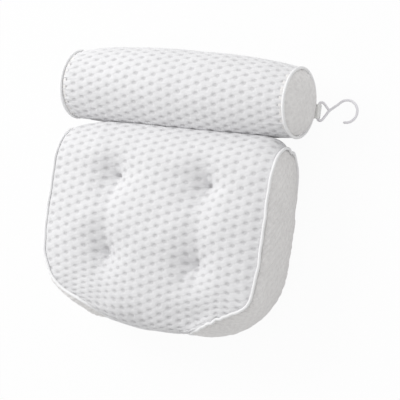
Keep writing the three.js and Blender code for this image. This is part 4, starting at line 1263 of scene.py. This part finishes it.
class Nodes:
    """The node tree of a material or a world, with short ways to add what is shared."""

    def __init__(self, owner):
        owner.use_nodes = True
        self.owner, self.tree = owner, owner.node_tree

    def add(self, kind, **settings):
        """A new node with its settings."""
        node = self.tree.nodes.new(kind)
        for key, value in settings.items():
            setattr(node, key, value)
        return node

    def link(self, value, socket):
        """Feeds a socket from another socket, a number or a colour."""
        if isinstance(value, bpy.types.NodeSocket):
            self.tree.links.new(value, socket)
        elif isinstance(value, (int, float)):
            socket.default_value = value
        else:
            socket.default_value = (*value, 1.0)

    def math(self, operation, *values):
        """The result of a sum, a product or another operation."""
        node = self.add("ShaderNodeMath", operation=operation)
        for value, socket in zip(values, node.inputs):
            self.link(value, socket)
        return node.outputs[0]

    def ramp(self, value, low, high, to_low=0.0, to_high=1.0):
        """A smooth step of a value between two limits."""
        node = self.add("ShaderNodeMapRange", interpolation_type="SMOOTHSTEP")
        for given, socket in zip((value, low, high, to_low, to_high), node.inputs):
            self.link(given, socket)
        return node.outputs[0]

    def mix(self, factor, first, second):
        """A colour between two others."""
        node = self.add("ShaderNodeMix", data_type="RGBA")
        for given, key in ((factor, 0), (first, 6), (second, 7)):
            self.link(given, node.inputs[key])
        return node.outputs[2]

    def noise(self, scale, detail=2.0):
        """Fractal noise in the object's space, from 0 to 1."""
        node = self.add("ShaderNodeTexNoise")
        self.link(scale, node.inputs["Scale"])
        self.link(detail, node.inputs["Detail"])
        self.link(self.add("ShaderNodeTexCoord").outputs["Object"], node.inputs["Vector"])
        return node.outputs[0]

    def clouded(self, scale, detail, colour, shade, low=0.3, high=0.7, most=1.0):
        """A colour that noise mixes with a lighter or darker shade of itself."""
        cloud = self.ramp(self.noise(scale, detail), low, high, 0.0, most)
        return self.mix(cloud, colour, scaled(colour, shade))

    def painted_shade(self, base, colour, *patterns):
        """A base with a share of a colour mixed in by each pattern in turn."""
        for pattern, share in patterns:
            base = self.mix(self.math("MULTIPLY", pattern, share), base, colour)
        return base

    def wave(self, value, pitch, operation="SINE", low=-1.0):
        """A smooth wave of a value, from 0 to 1, with a pitch."""
        turn = self.math("MULTIPLY", value, 2 * math.pi / pitch)
        return self.ramp(self.math(operation, turn), low, 1.0)

    def weave_map(self):
        """The two directions of the piece's own map, in metres."""
        split = self.add("ShaderNodeSeparateXYZ")
        self.link(self.add("ShaderNodeUVMap", uv_map="weave").outputs[0], split.inputs[0])
        return split.outputs[0], split.outputs[1]

    def dots(self, u, v, column, row, across, along, inner=0.45, outer=1.15):
        """A staggered lattice of oval dots: 1 inside a dot and 0 outside, as in lattice()."""
        found = None
        for k in (0, 1):
            x = self.math("WRAP", self.math("SUBTRACT", u, k * column), column, -column)
            y = self.math("WRAP", self.math("SUBTRACT", v, k * row / 2), row / 2, -row / 2)
            squares = []
            for off, half in ((x, across), (y, along)):
                share = self.math("DIVIDE", self.math("ABSOLUTE", off), half)
                squares.append(self.math("POWER", share, 2.0))
            far = self.math("SQRT", self.math("ADD", *squares))
            found = far if found is None else self.math("MINIMUM", found, far)
        return self.ramp(found, inner, outer, 1.0, 0.0)

    def bump(self, height, distance, strength, before=None):
        """A normal that is bent by a height, over an earlier one where there is one."""
        node = self.add("ShaderNodeBump")
        self.link(distance, node.inputs["Distance"])
        self.link(strength, node.inputs["Strength"])
        self.link(height, node.inputs["Height"])
        if before is not None:
            self.link(before, node.inputs["Normal"])
        return node.outputs[0]

    def seen(self):
        """1 for rays from the camera, from gloss and through clear pieces."""
        path = self.add("ShaderNodeLightPath")
        found = path.outputs["Is Camera Ray"]
        for kind in ("Is Glossy Ray", "Is Transmission Ray"):
            found = self.math("MAXIMUM", found, path.outputs[kind])
        return found

    def finish(self, colour, roughness, normal, **values):
        """The material, with its shader fed, and other inputs set by their names."""
        shader = self.tree.nodes["Principled BSDF"]
        self.link(colour, shader.inputs["Base Color"])
        self.link(roughness, shader.inputs["Roughness"])
        self.link(normal, shader.inputs["Normal"])
        for key, value in values.items():
            shader.inputs[key.replace("_", " ")].default_value = value
        return self.owner

    def moulded(self, colour, grain, gloss, distance, strength, **values):
        """A moulded finish: a fine grain in the relief and between two roughnesses."""
        fine = self.noise(grain)
        rough = self.ramp(fine, 0.3, 0.7, *gloss)
        return self.finish(colour, rough, self.bump(fine, distance, strength), **values)

    def cloth(self, colour, roughness, normal, sheen, sheen_roughness, specular):
        """A woven finish: a soft sheen and little gloss."""
        return self.finish(
            colour,
            roughness,
            normal,
            Sheen_Weight=sheen,
            Sheen_Roughness=sheen_roughness,
            Specular_IOR_Level=specular,
        )


def scaled(colour, factor):
    """A colour times a factor, held at white."""
    return tuple(min(1.0, channel * factor) for channel in colour)


def shared(name):
    """Gives a finish its one material, which is made the first time that it is asked for.

    The name is none of the packed model's own material names, which would be found first.
    """

    def wrap(make):
        def give():
            made = bpy.data.materials.get(name)
            if made is None:
                nodes = Nodes(bpy.data.materials.new(name))
                made = make(nodes, bpy.context.scene.pillow_colours)
            return made

        give.__doc__ = make.__doc__
        return give

    return wrap


def mesh_material(name, column, row, lean=1):
    """White mesh: grey dots in a staggered lattice, with slanting ribs between them.

    The ribs follow the lattice's diagonal, three to a row of dots, over a fine honeycomb.
    """
    f, tint = bpy.context.scene.pillow_fabric, bpy.context.scene.pillow_colours
    n = Nodes(bpy.data.materials.new(name))
    u, v = n.weave_map()
    dot = n.dots(u, v, column, row, f.dot_across, f.dot_along)
    cell = n.dots(u, v, 1.05 * MM, 1.3 * MM, 0.62 * MM, 0.55 * MM, 0.4, 1.0)
    slant = n.math("ADD", v, n.math("MULTIPLY", u, lean * row / 2 / column))
    bend = n.math("MULTIPLY", n.math("SUBTRACT", n.noise(140), 0.5), 2.4 * MM)
    slant = n.math("ADD", slant, bend)
    rib = n.wave(slant, row / 3, "COSINE")
    main = n.wave(slant, row, "COSINE", 0.72)
    base = n.clouded(28, 3.0, tint.mesh, 0.965)
    # painted shade: the honeycomb's cells and the ribs' grooves are darkened towards the mesh's
    # shade colour
    base = n.painted_shade(base, tint.mesh_shade, (cell, 0.12), (rib, 0.05), (main, 0.20))
    threads = n.noise(900)
    # the dots' painted shade colour, varied by the threads
    inside = n.mix(n.ramp(threads, 0.35, 0.65), tint.mesh_shade, scaled(tint.mesh_shade, 1.22))
    fine = n.bump(n.math("SUBTRACT", 1.0, cell), 0.35 * MM, 0.6)
    ribs = n.bump(n.math("SUBTRACT", 1.0, n.math("ADD", rib, main)), 0.25 * MM, 0.35, fine)
    soft = n.bump(threads, 0.2 * MM, 0.35, ribs)
    # painted shade: the dots are darkened for the depth of their holes
    return n.cloth(n.painted_shade(base, inside, (dot, 0.94)), 0.92, soft, 0.25, 0.45, 0.25)


@shared("plain_cloth")
def plain_material(n, tint):
    """Off-white bird's-eye cloth: small diamonds sunk between crossed ridges."""
    f = bpy.context.scene.pillow_fabric
    u, v = n.weave_map()
    eye = n.dots(u, v, f.eye_column, f.eye_row, f.eye_size, f.eye_size, 0.1, 1.25)
    weave = n.dots(u, v, 1.3 * MM, 2.2 * MM, 0.8 * MM, 0.75 * MM, 0.3, 1.15)
    mottle = n.noise(150, 3.0)
    streak = n.noise(420, 3.0)
    base = n.clouded(36, 4.0, tint.plain, 0.95, 0.25, 0.75)
    base = n.mix(n.ramp(mottle, 0.35, 0.68, 0.0, 0.5), base, tint.plain_dark)
    # painted shade: the sunk eyes and the weave's hollows are darkened towards the cloth's shade
    # colour
    base = n.painted_shade(base, tint.plain_dark, (eye, 0.6), (weave, 0.25))
    base = n.mix(n.ramp(streak, 0.4, 0.7, 0.0, 0.18), base, scaled(tint.plain, 1.12))
    relief = n.bump(n.math("SUBTRACT", 1.0, weave), 0.35 * MM, 0.7)
    return n.cloth(base, 0.94, n.bump(streak, 0.2 * MM, 0.4, relief), 0.2, 0.5, 0.2)


@shared("piping_cloth")
def piping_material(n, tint):
    """Bright white piping: fine slanting threads wound over a cord."""
    u, v = n.weave_map()
    wave = n.wave(n.math("ADD", n.math("MULTIPLY", u, 0.6), v), 1.0 * MM)
    base = n.clouded(60, 3.0, tint.piping, 0.95, most=0.5)
    # painted shade: the piping is darker in the grooves between its wound threads
    base = n.mix(n.ramp(wave, 0.0, 0.35, 0.14, 0.0), base, scaled(tint.piping, 0.8))
    return n.cloth(base, 0.8, n.bump(wave, 0.18 * MM, 0.6), 0.25, 0.4, 0.3)


@shared("tuft_thread")
def thread_material(n, tint):
    """Twisted polyester thread."""
    wave = n.wave(n.math("ADD", *n.weave_map()), 0.8 * MM)
    # painted shade: the thread is darker in the grooves of its twist
    base = n.mix(wave, scaled(tint.thread, 0.85), tint.thread)
    return n.finish(base, 0.6, n.bump(wave, 0.1 * MM, 0.6), Sheen_Weight=0.3)


@shared("webbing_cloth")
def webbing_material(n, tint):
    """Ribbed webbing: fine cross threads over the moulded ribs."""
    u, v = n.weave_map()
    across, rib = n.wave(v, 0.7 * MM), n.wave(u, 1.27 * MM)
    # painted shade: the webbing is darker in the valleys between its ribs
    base = n.mix(rib, scaled(tint.webbing, 0.95), tint.webbing)
    cloud = n.ramp(n.noise(300, 3.0), 0.35, 0.7, 0.0, 0.3)
    base = n.mix(cloud, base, scaled(tint.webbing, 1.01))
    height = n.math("ADD", n.math("MULTIPLY", across, 0.5), rib)
    return n.finish(base, 0.85, n.bump(height, 0.15 * MM, 0.6), Sheen_Weight=0.2)


@shared("coated_wire")
def wire_material(n, tint):
    """Plastic-coated wire: satin, with faint flow marks."""
    base = n.clouded(90, 3.0, tint.wire, 1.06)
    return n.moulded(base, 700, (0.24, 0.36), 0.05 * MM, 0.2, Coat_Weight=0.2)


@shared("clear_vinyl")
def vinyl_material(n, tint):
    """Clear soft vinyl: slightly cloudy, with fine mould marks."""
    base = n.clouded(70, 3.0, tint.vinyl, 0.94)
    clear = {"Transmission_Weight": 0.55, "IOR": 1.5}
    return n.moulded(base, 500, (0.08, 0.18), 0.04 * MM, 0.2, **clear)


@shared("eyelet_moulding")
def eyelet_material(n, tint):
    """Moulded white plastic with a fine satin grain."""
    base = n.clouded(120, 3.0, tint.eyelet, 0.96)
    return n.moulded(base, 1200, (0.32, 0.45), 0.04 * MM, 0.3)


@shared("floor")
def floor_material(n, tint):
    """Pale floor that looks white and keeps a faint shadow of the object."""
    n.tree.nodes.clear()
    diffuse, glow = n.add("ShaderNodeBsdfDiffuse"), n.add("ShaderNodeEmission")
    n.link(tint.floor, diffuse.inputs["Color"])
    glow.inputs["Strength"].default_value = 1.0
    both = n.add("ShaderNodeMixShader")
    parts = (n.math("MULTIPLY", n.seen(), FLOOR_GLOW), diffuse.outputs[0], glow.outputs[0])
    for part, socket in zip(parts, both.inputs):
        n.link(part, socket)
    n.link(both.outputs[0], n.add("ShaderNodeOutputMaterial").inputs["Surface"])
    return n.owner


# Stage


def add_camera():
    """Camera at the place and with the lens that fit the object's outline."""
    towards, up = Vector(CAMERA_TOWARDS).normalized(), Vector(CAMERA_UP).normalized()
    right = up.cross(towards).normalized()
    data = bpy.data.cameras.new("camera")
    data.sensor_width = 36.0
    data.sensor_fit = "HORIZONTAL"
    data.lens = CAMERA_LENS
    data.clip_start, data.clip_end = 0.1, 20.0
    camera = bpy.data.objects.new("camera", data)
    bpy.context.scene.collection.objects.link(camera)
    rows = Matrix((right, towards.cross(right), towards)).transposed().to_4x4()
    spot = Vector(Cushion().to_world(np.array(CAMERA_PLACE)))
    camera.matrix_world = Matrix.Translation(spot) @ rows
    bpy.context.scene.camera = camera


def add_floor():
    """A flat floor just under the cups."""
    x, y = np.meshgrid((-3.0, 0.0, 3.0), (-3.0, 0.0, 3.0))
    floor = make_piece("floor", [patch(grid(x, y, -0.2 * MM))], floor_material())
    outward(floor, UP_AXIS)


def add_lamp():
    """Soft light: a lit disk at the upper left."""
    data = bpy.data.lights.new("key", "AREA")
    data.shape = "DISK"
    data.size = LAMP_SIZE
    data.energy = LAMP_ENERGY
    lamp = bpy.data.objects.new("key", data)
    bpy.context.scene.collection.objects.link(lamp)
    towards = Vector(LAMP_TOWARDS).normalized()
    lamp.location = towards * LAMP_DISTANCE
    lamp.rotation_mode = "QUATERNION"
    lamp.rotation_quaternion = towards.to_track_quat("Z", "Y")


def add_surround():
    """A surround that looks white, and lights by direction: a level and gains by axis."""
    world = bpy.data.worlds.new("surround")
    bpy.context.scene.world = world
    n = Nodes(world)
    split = n.add("ShaderNodeSeparateXYZ")
    n.link(n.add("ShaderNodeTexCoord").outputs["Generated"], split.inputs[0])
    shade = SKY_LEVEL
    for axis, gain in SKY_GAINS.items():
        shade = n.math("MULTIPLY_ADD", split.outputs[axis], gain, shade)
    background = n.tree.nodes["Background"]
    n.link(n.mix(n.seen(), shade, (1.0, 1.0, 1.0)), background.inputs["Color"])
    background.inputs["Strength"].default_value = 1.0


def build_stage():
    """Camera, floor, soft light from the upper left, and a plain white surround."""
    add_camera()
    add_floor()
    add_lamp()
    add_surround()
    bpy.context.scene.view_settings.view_transform = "Standard"


# Operators and panel


class PILLOW_OT_stage(bpy.types.Operator):
    """Makes the camera, the floor and the light"""

    bl_idname = "pillow.stage"
    bl_label = "Stage"

    def execute(self, context):
        build_stage()
        return {"FINISHED"}


class PILLOW_OT_front_cover(bpy.types.Operator):
    """Makes the cushion's mesh cover"""

    bl_idname = "pillow.front_cover"
    bl_label = "Cushion mesh"

    def execute(self, context):
        build_front_cover()
        return {"FINISHED"}


class PILLOW_OT_side_panels(bpy.types.Operator):
    """Makes the cushion's two side panels"""

    bl_idname = "pillow.side_panels"
    bl_label = "Side panels"

    def execute(self, context):
        build_side_panels()
        return {"FINISHED"}


class PILLOW_OT_side_piping(bpy.types.Operator):
    """Makes the piping round the side panels"""

    bl_idname = "pillow.side_piping"
    bl_label = "Side piping"

    def execute(self, context):
        build_side_piping()
        return {"FINISHED"}


class PILLOW_OT_back(bpy.types.Operator):
    """Makes the back panel and its seams"""

    bl_idname = "pillow.back"
    bl_label = "Back panel"

    def execute(self, context):
        build_back_panel()
        build_back_seam()
        return {"FINISHED"}


class PILLOW_OT_tufts(bpy.types.Operator):
    """Makes the thread of the four tufts"""

    bl_idname = "pillow.tufts"
    bl_label = "Tuft threads"

    def execute(self, context):
        build_tufts()
        return {"FINISHED"}


class PILLOW_OT_roll(bpy.types.Operator):
    """Makes the neck roll's mesh cover"""

    bl_idname = "pillow.roll"
    bl_label = "Roll mesh"

    def execute(self, context):
        build_roll_cover()
        return {"FINISHED"}


class PILLOW_OT_roll_ends(bpy.types.Operator):
    """Makes the neck roll's end panels and their piping"""

    bl_idname = "pillow.roll_ends"
    bl_label = "Roll ends"

    def execute(self, context):
        build_roll_ends()
        return {"FINISHED"}


class PILLOW_OT_flap(bpy.types.Operator):
    """Makes the flap that joins the roll to the cushion"""

    bl_idname = "pillow.flap"
    bl_label = "Flap"

    def execute(self, context):
        build_flap()
        return {"FINISHED"}


class PILLOW_OT_hook(bpy.types.Operator):
    """Makes the wire hook and its webbing tab"""

    bl_idname = "pillow.hook"
    bl_label = "Hook and tab"

    def execute(self, context):
        build_hook()
        build_tab()
        return {"FINISHED"}


class PILLOW_OT_cups(bpy.types.Operator):
    """Makes the suction cups and their eyelets"""

    bl_idname = "pillow.cups"
    bl_label = "Suction cups"

    def execute(self, context):
        build_cups()
        return {"FINISHED"}


OPERATORS = (
    PILLOW_OT_stage,
    PILLOW_OT_front_cover,
    PILLOW_OT_side_panels,
    PILLOW_OT_side_piping,
    PILLOW_OT_back,
    PILLOW_OT_tufts,
    PILLOW_OT_roll,
    PILLOW_OT_roll_ends,
    PILLOW_OT_flap,
    PILLOW_OT_hook,
    PILLOW_OT_cups,
)
GROUPS = (
    ("pillow_cushion", PillowCushionSizes),
    ("pillow_roll", PillowRollSizes),
    ("pillow_fabric", PillowFabricSizes),
    ("pillow_colours", PillowColours),
)


class PILLOW_PT_panel(bpy.types.Panel):
    """Lists the pieces of the pillow in the sidebar"""

    bl_label = "Bath pillow"
    bl_idname = "PILLOW_PT_panel"
    bl_space_type = "VIEW_3D"
    bl_region_type = "UI"
    bl_category = "Pillow"

    def draw(self, context):
        for operator in OPERATORS:
            self.layout.operator(operator.bl_idname)


def register():
    for _, group in GROUPS:
        bpy.utils.register_class(group)
    for operator in OPERATORS:
        bpy.utils.register_class(operator)
    bpy.utils.register_class(PILLOW_PT_panel)
    for name, group in GROUPS:
        setattr(bpy.types.Scene, name, PointerProperty(type=group))


def unregister():
    for name, _ in GROUPS:
        delattr(bpy.types.Scene, name)
    bpy.utils.unregister_class(PILLOW_PT_panel)
    for operator in reversed(OPERATORS):
        bpy.utils.unregister_class(operator)
    for _, group in reversed(GROUPS):
        bpy.utils.unregister_class(group)


def main():
    """Makes the whole pillow on its stage, and keeps its box beside the solids' box."""
    register()
    bpy.ops.pillow.stage()
    bpy.ops.pillow.front_cover()
    bpy.ops.pillow.side_panels()
    bpy.ops.pillow.side_piping()
    bpy.ops.pillow.back()
    bpy.ops.pillow.tufts()
    bpy.ops.pillow.roll()
    bpy.ops.pillow.roll_ends()
    bpy.ops.pillow.flap()
    bpy.ops.pillow.hook()
    bpy.ops.pillow.cups()
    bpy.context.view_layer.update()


if __name__ == "__main__":
    main()
